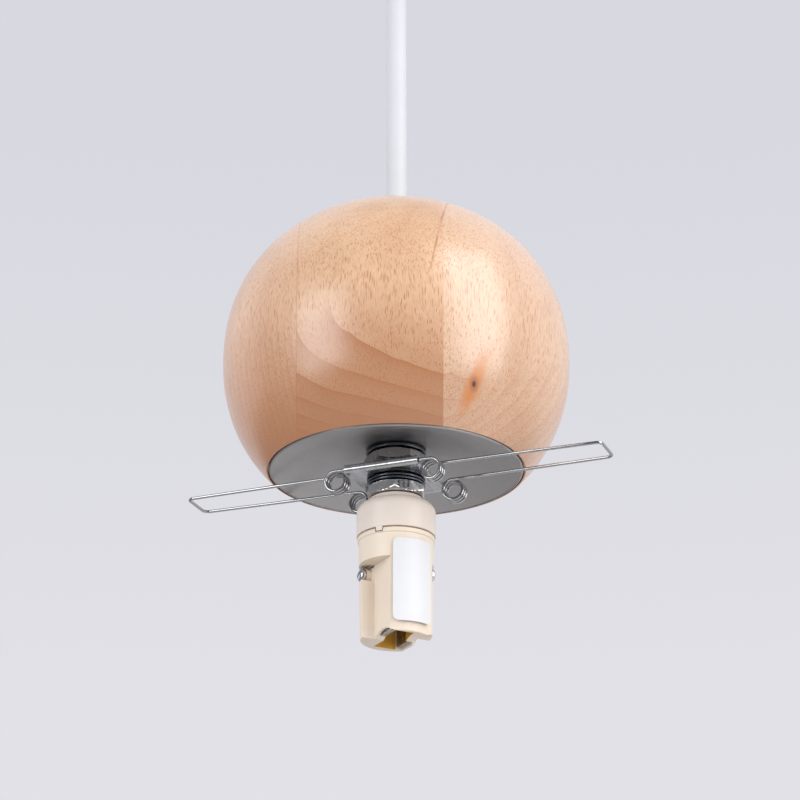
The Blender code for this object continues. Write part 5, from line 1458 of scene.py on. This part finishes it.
def dish_profile(metal, low, high):
    """The disc's underside, from its hole to just inside its edge: flat as far as its seat, then
    a parabola down to the edge."""
    depth = high[2] - low[2] - metal.disc_thickness
    seat_share = (DISC_SEAT / high[0]) ** 2
    radius = np.linspace(DISC_SEAT, high[0] - metal.disc_thickness / 2, DISH_POINTS)
    rise = depth * (1 - (radius / high[0]) ** 2) / (1 - seat_share)
    flat = [(THREADED_HOLE, low[2] + depth), (DISC_SEAT * DISC_SEAT_SHARE, low[2] + depth)]
    return np.vstack([flat, np.stack([radius, low[2] + rise], axis=1)])


DISC_SEAT = 0.0094
DISC_SEAT_SHARE = 0.97
DISC_EDGE_POINTS = 13
DISC_STEPS = 192
DISH_POINTS = 40


class PENDANT_OT_bracket(bpy.types.Operator):
    """Fold the clip bracket: a plate whose two long edges are rolled round the wires"""

    bl_idname = "pendant.fold_bracket"
    bl_label = "Fold the Bracket"

    def execute(self, context):
        metal = context.scene.pendant_metal
        outline = self.outline(metal)
        rounding = metal.plate_thickness * PLATE_END_SHARE
        ends = np.array([ROLL_LOW[0], ROLL_LOW[0] + rounding, ROLL_HIGH[0] - rounding, ROLL_HIGH[0]])
        grid = np.empty((len(ends), len(outline), 3))
        grid[:, :, 0] = ends[:, None]
        grid[:, :, 1] = outline[:, 0]
        grid[:, :, 2] = ROLL_Z + outline[:, 1]
        bracket = mesh_object("folded_bracket", [patch(grid)], fill_holes=True)
        hole = rod_shape(THREADED_HOLE, 2 * PLATE_HOLE_REACH, PLATE_HOLE_SIDES)
        carved(bracket, [aimed(hole, (0, 0, ROLL_Z - PLATE_HOLE_REACH), (0, 0, 1))])
        finished(smoothed(bracket), Finishes.made["rolled"], "lamp", "bright_zinc", "clip_bracket")
        return {"FINISHED"}

    def outline(self, metal):
        """The section across X: each roll is two arcs about its wire, an outer one that leaves the
        plate's foot and an inner one back to the plate's top."""
        foot = -ROLL_RADIUS + metal.plate_rise
        top = foot + metal.plate_thickness
        bore = metal.wire_diameter / 2 + FIT_GAP
        leave = math.asin(foot / ROLL_RADIUS)
        lip = math.asin(max(-1.0, top / bore))
        sweep = FULL_TURN - (lip - leave) - FIT_GAP / bore
        turns = np.linspace(0, sweep, ROLL_STEPS + 1)
        outer = np.stack([np.cos(leave - turns), np.sin(leave - turns)], axis=1) * ROLL_RADIUS
        inner = np.stack([np.cos(lip - turns), np.sin(lip - turns)], axis=1)[::-1] * bore
        half = np.vstack([outer, inner])
        half[:, 0] -= ROLL_PLACE
        return np.vstack([half, half[::-1] * np.array([-1, 1])])


ROLL_STEPS = 40
PLATE_END_SHARE = 0.12
PLATE_HOLE_REACH = 0.004
PLATE_HOLE_SIDES = 64


class PENDANT_OT_clips(bpy.types.Operator):
    """Bend the four half springs: a leg in the roll, a torsion coil and half of a sprung arm"""

    bl_idname = "pendant.bend_clips"
    bl_label = "Bend the Clips"

    def execute(self, context):
        metal = context.scene.pendant_metal
        for hand, side in (("right", 1), ("left", -1)):
            for where, end in (("front", -1), ("rear", 1)):
                self.bend(metal, hand, side, where, end)
        return {"FINISHED"}

    def bend(self, metal, hand, side, where, end):
        """Path: straight leg, then a coil whose x and z run round its axis while y steps inwards
        by the pitch each turn, then a straight arm with an arc at its tip."""
        axis = joint_place(hand + "_clip_fold")
        centre_x = abs(axis[0])
        coil_radius = ROLL_Z - axis[2]
        arm_low, arm_high = extent(hand + "_clip_arm")
        arm_reach = max(-arm_low[0], arm_high[0]) - metal.wire_diameter / 2
        turns = np.linspace(0, FULL_TURN * metal.coil_turns, COIL_STEPS * metal.coil_turns + 1)
        coil = np.stack(
            [
                centre_x + coil_radius * np.sin(turns),
                ROLL_PLACE - metal.coil_pitch * turns / FULL_TURN,
                axis[2] + coil_radius * np.cos(turns),
            ],
            axis=1,
        )
        leg = np.linspace((FIT_GAP, ROLL_PLACE, ROLL_Z), coil[0], LEG_POINTS)[:-1]
        corners = [coil[-1, :2], (arm_reach, metal.tip_width / 2), (arm_reach, 0)]
        arm = rounded(corners, [0, metal.tip_rounding, 0], ARM_POINTS)
        straight = np.linspace(coil[-1, :2], arm[1], ARM_POINTS)[1:-1]
        arm = np.vstack([straight, arm[1:]])
        arm = np.column_stack([arm, np.full(len(arm), ROLL_Z)])
        path = np.vstack([leg, coil, arm])
        facing = np.tile([0.0, 0, 1.0], (len(path), 1))
        around = slice(len(leg), len(leg) + len(coil))
        facing[around] = np.stack([np.sin(turns), 0 * turns, np.cos(turns)], axis=1)
        hands = np.array([side, end, 1])
        radii = np.full(len(path), metal.wire_diameter / 2)
        shape = swept(path * hands, facing * hands, radii, WIRE_SIDES)
        wire = mesh_object(hand + "_wire_" + where, [shape], fill_holes=True)
        nodes = (hand + "_leg_" + where, hand + "_clip_arm")
        smoothed(wire)
        wire.data.materials.append(Finishes.made["wire"])
        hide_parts(*nodes)
        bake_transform(wire)


COIL_STEPS = 48
LEG_POINTS = 10
ARM_POINTS = 14
WIRE_SIDES = 14


class PENDANT_OT_fasteners(bpy.types.Operator):
    """Stack the washers and screw on the hexagon nuts"""

    bl_idname = "pendant.stack_fasteners"
    bl_label = "Stack Washers and Nuts"

    def execute(self, context):
        metal = context.scene.pendant_metal
        for node, name in (
            ("disc_washer", "dark_disc_washer"),
            ("lock_washer", "split_washer"),
            ("plain_washer", "flat_washer"),
        ):
            low, high = extent(node)
            reach = max(high[0], -low[0])
            sides = ((THREADED_HOLE, high[2]), (reach, high[2]), (reach, low[2]), (THREADED_HOLE, low[2]))
            profile = rounded(sides, metal.washer_rounding)
            if node == "lock_washer":
                gap = SPLIT_GAP / reach
                shape = turned(profile, SPLIT_STEPS, SPLIT_TURN + gap / 2, FULL_TURN - gap)
            else:
                shape = turned(profile, WASHER_STEPS)
            washer = smoothed(mesh_object(name, [shape], fill_holes=True))
            finished(washer, Finishes.made["dark"], "lamp", "dark_steel", node)
        for node, name, body in (
            ("lower_nut", "hexagon_nut", "lamp"),
            ("disc_nut", "disc_hexagon_nut", "lamp"),
            ("upper_nut", "upper_hexagon_nut", "lamp"),
            ("jam_nut", "jam_hexagon_nut", "lamp"),
            ("grip_nut", "grip_hexagon_nut", "ceiling"),
        ):
            low, high = extent(node)
            across = GRIP_NUT_FLATS if node == "grip_nut" else NUT_FLATS
            shape = nut_shape(across, THREADED_HOLE, low[2], high[2], farthest_angle(node))
            nut = smoothed(mesh_object(name, [shape]), NUT_SHARP_ANGLE)
            # The upper nut sits in the dish's shade, which is painted as a darker plating
            finish = "shaded" if node == "disc_nut" else "nut"
            finished(nut, Finishes.made[finish], body, "bright_zinc", node)
        return {"FINISHED"}


SPLIT_STEPS = 120
WASHER_STEPS = 128
NUT_SHARP_ANGLE = math.radians(20)
SPLIT_GAP = 0.0008
SPLIT_TURN = math.radians(200)
NUT_FLATS = 0.016
GRIP_NUT_FLATS = 0.014


class PENDANT_OT_cap(bpy.types.Operator):
    """Mould the lampholder's cap: neck, rounded shoulder, skirt and the tooth in its rim"""

    bl_idname = "pendant.mould_cap"
    bl_label = "Mould the Cap"

    def execute(self, context):
        radius = CAP_HIGH[0]
        foot = CAP_LOW[2] + TOOTH_DROP
        top = CAP_HIGH[2]
        corners = [
            (THREADED_HOLE, top),
            (CAP_NECK, top),
            (CAP_NECK, top - CAP_NECK_HEIGHT),
            (radius, top - CAP_NECK_HEIGHT - CAP_SHOULDER_SLOPE),
            (radius, foot),
            (radius - CAP_WALL, foot),
            (radius - CAP_WALL, top - CAP_ROOF),
            (THREADED_HOLE, top - CAP_ROOF),
        ]
        outline = rounded(corners, CAP_ROUNDINGS, CAP_ARC_STEPS)
        cap = mesh_object("moulded_cap", [turned(outline, CAP_STEPS)])
        tooth = boxed(
            (radius - CAP_WALL * TOOTH_INNER_SHARE, -TOOTH_WIDTH / 2, CAP_LOW[2]),
            (radius - CAP_WALL * TOOTH_OUTER_SHARE, TOOTH_WIDTH / 2, foot + CAP_WALL),
            TOOTH_TURN,
            taper=TOOTH_TAPER,
        )
        piece = mesh_object("cap_tooth", [tooth])
        bevelled(piece, TOOTH_ROUNDING, 3)
        joined(cap, piece)
        finished(smoothed(cap), Finishes.made["cap"], "lamp", "cream_resin", "holder_cap")
        return {"FINISHED"}


def joined(piece, other):
    """Adds another object's mesh to the piece."""
    body = bmesh.new()
    body.from_mesh(piece.data)
    body.from_mesh(other.data)
    body.to_mesh(piece.data)
    body.free()
    bpy.data.objects.remove(other, do_unlink=True)
    return piece


CAP_NECK = 0.0077
CAP_NECK_HEIGHT = 0.0014
CAP_SHOULDER_SLOPE = 0.0004
CAP_WALL = 0.0014
CAP_ROOF = 0.0032
TOOTH_DROP = 0.0012
TOOTH_WIDTH = 0.0024
TOOTH_TURN = math.radians(-95)
TOOTH_TAPER = TOOTH_WIDTH * 0.14
TOOTH_ROUNDING = 0.0002
TOOTH_INNER_SHARE = 0.75
TOOTH_OUTER_SHARE = 0.08
CAP_ROUNDINGS = (0.0002, 0.0004, 0.0005, 0.0030, 0.00022, 0.0002, 0.0008, 0)
CAP_ARC_STEPS = 12
CAP_STEPS = 160


class PENDANT_OT_body(bpy.types.Operator):
    """Mould the lampholder's body: collar, pockets, notches, screw bosses, lamp slot and scoop"""

    bl_idname = "pendant.mould_body"
    bl_label = "Mould the Body"

    def execute(self, context):
        holder = context.scene.pendant_holder
        low, high = extent("holder_body")
        spigot = CAP_HIGH[0] - CAP_WALL - FIT_GAP
        collar_top = CAP_LOW[2] + TOOTH_DROP - FIT_GAP
        corners = [
            (0, high[2]),
            (spigot, high[2]),
            (spigot, collar_top),
            (holder.collar_radius, collar_top),
            (holder.collar_radius, collar_top - holder.collar_height),
            (holder.body_radius, collar_top - holder.collar_height),
            (holder.foot_radius, low[2]),
            (0, low[2]),
        ]
        outline = rounded(corners, BODY_ROUNDINGS, BODY_ARC_STEPS)
        body = mesh_object("moulded_body", [turned(outline, BODY_STEPS)])
        for cut in (self.pocket, self.notch):
            carved(body, [cut(holder, side, low[2]) for side in (-1, 1)])
        carved(body, [self.boss(holder, side) for side in (-1, 1)], "UNION")
        carved(body, self.hollows(holder, low[2], collar_top))
        bevelled(body, holder.edge_rounding)
        finished(smoothed(body), Finishes.made["body"], "lamp", "cream_resin", "holder_body")
        return {"FINISHED"}

    def pocket(self, holder, side, foot):
        """One flat pocket, open to the side and to the foot."""
        beyond = holder.body_radius + OVERRUN
        along = paired(side, -beyond, holder.pocket_lip)
        across = paired(side, holder.pocket_face, beyond)
        heights = (foot - OVERRUN, foot + holder.pocket_depth)
        return holder_box(holder, along, across, heights)

    def notch(self, holder, side, foot):
        """The notch between a side screw and the ledge, open to the side."""
        face = holder.pocket_face + NOTCH_SET_BACK
        across = paired(side, face, holder.body_radius + OVERRUN)
        ledge = foot + holder.pocket_depth - NOTCH_SET_BACK
        heights = (screw_height(side) - holder.notch_drop, ledge)
        return holder_box(holder, paired(side, 0, holder.notch_end), across, heights)

    def boss(self, holder, side):
        """The round boss under a side screw's head."""
        height = screw_height(side)
        root = holder.pocket_face - BOSS_LENGTH / 2
        reach = BOSS_LENGTH * 3 / 2
        origin = holder_points((side * SCREW_PLACE, side * root, height), holder.turn)
        outwards = holder_points((0, side, 0), holder.turn)
        return aimed(rod_shape(BOSS_RADIUS, reach, BOSS_SIDES), origin, outwards)

    def hollows(self, holder, foot, collar_top):
        """The lamp slot, the tooth's notch, the scoop, the contacts' niches, and the screws' and
        the barrels' ways."""
        half_length, half_width = holder.slot_length / 2, holder.slot_width / 2
        below = foot - OVERRUN
        along, across = (-half_length, half_length), (-half_width, half_width)
        slot = holder_box(holder, along, across, (below, foot + holder.slot_depth))
        half_notch = TOOTH_WIDTH / 2 + FIT_GAP
        notch = boxed(
            (CAP_HIGH[0] - CAP_WALL, -half_notch, collar_top - TOOTH_DROP),
            (CAP_HIGH[0] + CAP_WALL, half_notch, collar_top + TOOTH_DROP),
            TOOTH_TURN,
            taper=TOOTH_TAPER,
        )
        beyond = holder.body_radius + OVERRUN
        scoop_z = foot + holder.scoop_rise - holder.scoop_radius
        start = holder_points((SCOOP_PLACE, -beyond, scoop_z), holder.turn)
        scoop = rod_shape(holder.scoop_radius, 2 * beyond, SCOOP_SIDES)
        shapes = [slot, notch, aimed(scoop, start, holder_points((0, 1, 0), holder.turn))]
        for side in (-1, 1):
            niche = paired(side, CONTACT_NEAR - FIT_GAP, CONTACT_FAR + FIT_GAP)
            depth = paired(side, half_width - FIT_GAP, CONTACT_OUTER + FIT_GAP)
            roof = foot + CONTACT_HEIGHT + 2 * FIT_GAP
            shapes.append(holder_box(holder, niche, depth, (below, roof)))
            outwards = holder_points((0, side, 0), holder.turn)
            height = screw_height(side)
            start = holder_points((side * SCREW_PLACE, side * CONTACT_OUTER, height), holder.turn)
            bore = rod_shape(SCREW_SHANK + FIT_GAP, SCREW_WAY, HOLE_SIDES)
            shapes.append(aimed(bore, start, outwards))
            way_foot = foot + holder.pocket_depth - BARREL_WAY_DROP
            way = rod_shape(BARREL_RADIUS + FIT_GAP, BARREL_WAY, BARREL_WAY_SIDES)
            place = holder_points((side * BARREL_ALONG, side * BARREL_ACROSS, way_foot), holder.turn)
            shapes.append(aimed(way, place, (0, 0, 1)))
        return shapes


def paired(side, low, high):
    """The two ends of a stretch on either side of the holder's half-turn symmetry."""
    return (low, high) if side > 0 else (-high, -low)


def holder_box(holder, along, across, heights):
    """A box in the holder's own axes."""
    low = (along[0], across[0], heights[0])
    high = (along[1], across[1], heights[1])
    return boxed(low, high, holder.turn)


def screw_height(side):
    """Height of a side screw's axis."""
    low, high = extent("side_screw_live" if side > 0 else "side_screw_neutral")
    return (low[2] + high[2]) / 2


BODY_ROUNDINGS = (0, 0.0003, 0.0002, 0.0003, 0.0003, 0.0001, 0.0003, 0)
BODY_ARC_STEPS = 4
BODY_STEPS = 144
NOTCH_SET_BACK = 0.0001
SCOOP_SIDES = 64
SCREW_WAY = 0.010
BARREL_WAY = 0.020
BARREL_WAY_DROP = 0.0005
BARREL_WAY_SIDES = 40
BOSS_SIDES = 48
BOSS_RADIUS = 0.0019
BOSS_LENGTH = 0.0018
SCREW_PLACE = 0.0044
SCREW_SHANK = 0.0012
SCREW_HEAD = 0.0019
SCREW_HEAD_HEIGHT = 0.0015
CONTACT_NEAR = -0.0064
CONTACT_FAR = -0.0006
SCOOP_PLACE = -0.0038
CONTACT_INNER = 0.0036
CONTACT_OUTER = 0.0050
CONTACT_HEIGHT = 0.0116
BARREL_RADIUS = 0.00165
BARREL_ALONG = 0.0034
BARREL_ACROSS = 0.0069


class PENDANT_OT_terminals(bpy.types.Operator):
    """Fit the ribbed contacts, the side screws and the terminal barrels"""

    bl_idname = "pendant.fit_terminals"
    bl_label = "Fit the Terminals"

    def execute(self, context):
        holder = context.scene.pendant_holder
        for pole, side in (("live", 1), ("neutral", -1)):
            self.fit_contact(holder, pole, side)
            self.fit_screw(holder, pole, side)
            self.fit_barrel(holder, pole, side)
        return {"FINISHED"}

    def fit_contact(self, holder, pole, side):
        """A pad whose inner face is pressed into upright ribs: its depth follows a cosine along
        the slot. A strip bridges from the pad to the tongue under the side screw."""
        low, high = extent("contact_" + pole)
        foot = low[2]
        pad_top = HOLDER_FOOT_Z + CONTACT_HEIGHT
        along = np.linspace(CONTACT_NEAR, CONTACT_FAR, RIB_STEPS * holder.rib_count + 1)
        phase = (along - CONTACT_NEAR) / (CONTACT_FAR - CONTACT_NEAR) * holder.rib_count * FULL_TURN
        inner = CONTACT_INNER + RIB_DEPTH * (1 - np.cos(phase)) / 2
        outer = [(CONTACT_FAR, CONTACT_OUTER), (CONTACT_NEAR, CONTACT_OUTER)]
        outline = np.vstack([np.stack([along, inner], axis=1), outer])
        heights = np.array([foot, foot + PAD_END, pad_top - PAD_END, pad_top])
        grid = np.empty((4, len(outline), 3))
        grid[:, :, :2] = side * outline
        grid[:, :, 2] = heights[:, None]
        grid = spun(grid.reshape(-1, 3), holder.turn).reshape(grid.shape)
        strip = paired(side, CONTACT_OUTER - TONGUE_THICKNESS, CONTACT_OUTER)
        bridge = paired(side, CONTACT_FAR - TONGUE_THICKNESS, TONGUE_FAR)
        contact = mesh_object("ribbed_contact_" + pole, [patch(grid)], fill_holes=True)
        for along, heights in (
            (bridge, (pad_top - BRIDGE_HEIGHT, pad_top)),
            (paired(side, TONGUE_NEAR, TONGUE_FAR), (pad_top - BRIDGE_HEIGHT / 2, high[2])),
        ):
            shape = holder_box(holder, along, strip, heights)
            joined(contact, bevelled(mesh_object("strip_" + pole, [shape]), STRIP_ROUNDING))
        finished(smoothed(contact), Finishes.made["nickel"], "lamp", "contact_nickel", "contact_" + pole)

    def fit_screw(self, holder, pole, side):
        """A slotted pan-head screw, turned along Z and aimed across the slot."""
        seat = holder.pocket_face + BOSS_LENGTH + FIT_GAP
        tip = CONTACT_OUTER + FIT_GAP
        profile = pan_screw_profile(SCREW_SHANK, SCREW_HEAD, seat, tip, seat + SCREW_HEAD_HEIGHT)
        origin = holder_points((side * SCREW_PLACE, 0, screw_height(side)), holder.turn)
        outwards = holder_points((0, side, 0), holder.turn)
        shape = aimed(turned(profile, SCREW_STEPS), origin, outwards)
        screw = mesh_object("pan_screw_" + pole, [shape])
        slot_top = seat + SCREW_HEAD_HEIGHT
        half = SCREW_HEAD * SCREW_SLOT_SHARE
        slot = boxed(
            (-2 * SCREW_HEAD, -half, slot_top - SCREW_HEAD_HEIGHT / 2),
            (2 * SCREW_HEAD, half, slot_top + OVERRUN),
            SCREW_SLOT_TURN,
        )
        carved(screw, [aimed(slot, origin, outwards)])
        finished(smoothed(screw), Finishes.made["zinc"], "lamp", "bright_zinc", "side_screw_" + pole)

    def fit_barrel(self, holder, pole, side):
        """A terminal barrel with a rounded foot and the blind end of its own bore."""
        low, high = extent("barrel_" + pole)
        place = holder_points((side * BARREL_ALONG, side * BARREL_ACROSS, 0), holder.turn)
        bore_end = low[2] + BARREL_RADIUS * BARREL_BORE_DEPTH_SHARE
        corners = [
            (0, high[2]),
            (BARREL_RADIUS, high[2]),
            (BARREL_RADIUS, low[2]),
            (BARREL_RADIUS * BARREL_MOUTH_SHARE, low[2]),
            (BARREL_RADIUS * BARREL_BORE_SHARE, bore_end),
            (0, bore_end),
        ]
        profile = rounded(corners, BARREL_ROUNDINGS)
        shape = aimed(turned(profile, BARREL_STEPS), place, (0, 0, 1))
        barrel = mesh_object("terminal_barrel_" + pole, [shape])
        finished(smoothed(barrel), Finishes.made["nickel"], "lamp", "contact_nickel", "barrel_" + pole)


SCREW_STEPS = 64
SCREW_SLOT_SHARE = 0.17
SCREW_SLOT_TURN = math.radians(35)
BARREL_STEPS = 48
BARREL_MOUTH_SHARE = 0.45
BARREL_BORE_SHARE = 0.35
BARREL_BORE_DEPTH_SHARE = 0.3
BARREL_ROUNDINGS = (0, 0.0002, 0.00025, 0.0001, 0.0001, 0)
PAD_END = 0.0002
STRIP_ROUNDING = 0.0001
RIB_STEPS = 16
RIB_DEPTH = 0.0006
TONGUE_NEAR = 0.0024
TONGUE_FAR = 0.0054
TONGUE_THICKNESS = 0.0007
BRIDGE_HEIGHT = 0.0025


class PENDANT_OT_label(bpy.types.Operator):
    """Lay the bare white label round the lampholder's body"""

    bl_idname = "pendant.lay_label"
    bl_label = "Lay the Label"

    def execute(self, context):
        """A patch of the cylinder, its half width less near the corners by the circle's equation,
        laid twice a label's thickness apart and closed round its edges."""
        low, high = extent("rating_label")
        half = (high[2] - low[2]) / 2
        middle = (high[2] + low[2]) / 2
        rise = np.sin(np.linspace(-math.pi / 2, math.pi / 2, LABEL_ROWS)) * half
        reach = LABEL_SWEEP * LABEL_RADIUS / 2
        into_corner = np.clip(np.abs(rise) - (half - LABEL_CORNER), 0, LABEL_CORNER)
        width = reach - LABEL_CORNER + np.sqrt(LABEL_CORNER**2 - into_corner**2)
        share_across = np.linspace(-1, 1, LABEL_COLUMNS)
        turns = LABEL_START + LABEL_SWEEP / 2 + width[:, None] * share_across / LABEL_RADIUS
        skins = []
        for lift in (0, LABEL_THICKNESS):
            radius = LABEL_RADIUS + lift
            skins.append(
                np.stack(
                    [radius * np.cos(turns), radius * np.sin(turns), middle + rise[:, None] + 0 * turns],
                    axis=-1,
                )
            )
        inner, outer = skins
        loop = np.concatenate([outer, inner[:, ::-1]], axis=1)
        ends = [patch(np.stack([outer[row], inner[row]]), wrap_columns=False) for row in (0, -1)]
        label = mesh_object("bare_label", [patch(loop), *ends])
        finished(smoothed(label), Finishes.made["label"], "lamp", "blank_label", "rating_label")
        return {"FINISHED"}


LABEL_ROWS = 64
LABEL_COLUMNS = 48
LABEL_RADIUS = 0.0109
LABEL_THICKNESS = 0.0002
LABEL_CORNER = 0.0016
LABEL_START = math.radians(-73.5)
LABEL_SWEEP = math.radians(64)


class PENDANT_OT_rose(bpy.types.Operator):
    """Press the painted ceiling rose and fit its two pan-head screws"""

    bl_idname = "pendant.press_rose"
    bl_label = "Press the Rose"

    def execute(self, context):
        cord = context.scene.pendant_cord
        low, high = extent("rose_cup")
        radius = (high[1] - low[1]) / 2
        corners = [
            (radius, 0),
            (radius, low[2]),
            (ROSE_HOLE, low[2]),
            (ROSE_HOLE, low[2] + cord.rose_wall),
            (radius - cord.rose_wall, low[2] + cord.rose_wall),
            (radius - cord.rose_wall, 0),
        ]
        outer, inner = cord.rose_rounding, cord.rose_rounding - cord.rose_wall
        radii = [ROSE_RIM, outer, ROSE_HOLE_ROUNDING, ROSE_HOLE_ROUNDING, inner, ROSE_RIM]
        outline = rounded(corners, radii, ROSE_ARC_STEPS)
        cup = smoothed(mesh_object("pressed_rose", [turned(outline, ROSE_STEPS)]))
        finished(cup, Finishes.made["paint"], "ceiling", "white_paint", "rose_cup")
        for hand, side in (("left", -1), ("right", 1)):
            self.fit_screw(hand, side, radius)
        return {"FINISHED"}

    def fit_screw(self, hand, side, radius):
        """A slotted screw, its head on the cup's wall."""
        low, high = extent("rose_screw_" + hand)
        reach = max(abs(low[0]), abs(high[0]))
        tip = min(abs(low[0]), abs(high[0]))
        middle = (low[2] + high[2]) / 2
        seat = radius + FIT_GAP
        profile = pan_screw_profile(ROSE_SHANK, (high[2] - low[2]) / 2, seat, tip, reach)
        origin, outwards = (0, 0, middle), (side, 0, 0)
        shape = aimed(turned(profile, SCREW_STEPS), origin, outwards)
        screw = mesh_object("rose_pan_screw_" + hand, [shape])
        slot = boxed(
            (-ROSE_SLOT_REACH, -ROSE_SLOT_HALF, reach - ROSE_SLOT_DEPTH),
            (ROSE_SLOT_REACH, ROSE_SLOT_HALF, reach + OVERRUN),
            ROSE_SLOT_TURN,
        )
        carved(screw, [aimed(slot, origin, outwards)])
        finished(smoothed(screw), Finishes.made["zinc"], "ceiling", "bright_zinc", "rose_screw_" + hand)


ROSE_HOLE = 0.0053
ROSE_SHANK = 0.0015
ROSE_RIM = 0.0003
ROSE_HOLE_ROUNDING = 0.0002
ROSE_ARC_STEPS = 14
ROSE_STEPS = 192
ROSE_SLOT_REACH = 0.004
ROSE_SLOT_HALF = 0.0005
ROSE_SLOT_DEPTH = 0.0010
ROSE_SLOT_TURN = math.radians(20)


class PENDANT_OT_inside(bpy.types.Operator):
    """Finish the framed nodes that stay as they are, inside the ball and the rose"""

    bl_idname = "pendant.finish_inside"
    bl_label = "Finish the Inside"

    def execute(self, context):
        for finish, nodes in INSIDE_NODES.items():
            for node in nodes:
                dress_node(node, Finishes.made[finish])
        return {"FINISHED"}


INSIDE_NODES = {
    "zinc": (
        "ceiling_strap",
        "grip_screw",
        "block_screw",
        "anchor_plate",
        "wood_screw_left",
        "wood_screw_right",
        "threaded_tube",
        "clamp_screw",
    ),
    "brass": ("pole_screw_live", "pole_screw_neutral"),
    "nylon": ("cord_clamp",),
    "body": ("terminal_block",),
    "brown": ("tail_core_live", "core_live"),
    "blue": ("tail_core_neutral", "core_neutral"),
}


class PENDANT_PT_panel(bpy.types.Panel):
    """Lists the lamp's making steps and settings in the sidebar"""

    bl_idname = "PENDANT_PT_panel"
    bl_label = "Pendant Light"
    bl_space_type = "VIEW_3D"
    bl_region_type = "UI"
    bl_category = "Pendant"

    def draw(self, context):
        layout = self.layout
        for operator in STEPS:
            layout.operator(operator.bl_idname)
        for name, settings in SETTINGS.items():
            box = layout.box()
            box.label(text=settings.__doc__)
            for key in settings.__annotations__:
                box.prop(getattr(context.scene, name), key)


STEPS = (
    PENDANT_OT_materials,
    PENDANT_OT_stage,
    PENDANT_OT_cord,
    PENDANT_OT_ball,
    PENDANT_OT_disc,
    PENDANT_OT_bracket,
    PENDANT_OT_clips,
    PENDANT_OT_fasteners,
    PENDANT_OT_cap,
    PENDANT_OT_body,
    PENDANT_OT_terminals,
    PENDANT_OT_label,
    PENDANT_OT_rose,
    PENDANT_OT_inside,
)
SETTINGS = {
    "pendant_ball": PendantBall,
    "pendant_metal": PendantMetal,
    "pendant_holder": PendantHolder,
    "pendant_cord": PendantCord,
    "pendant_stage": PendantStage,
}
CLASSES = (*SETTINGS.values(), *STEPS, PENDANT_PT_panel)


def register():
    for each in CLASSES:
        bpy.utils.register_class(each)
    for name, settings in SETTINGS.items():
        setattr(bpy.types.Scene, name, PointerProperty(type=settings))


def unregister():
    for name in SETTINGS:
        delattr(bpy.types.Scene, name)
    for each in reversed(CLASSES):
        bpy.utils.unregister_class(each)


def main():
    register()
    for step in STEPS:
        family, name = step.bl_idname.split(".")
        getattr(getattr(bpy.ops, family), name)()


if __name__ == "__main__":
    main()
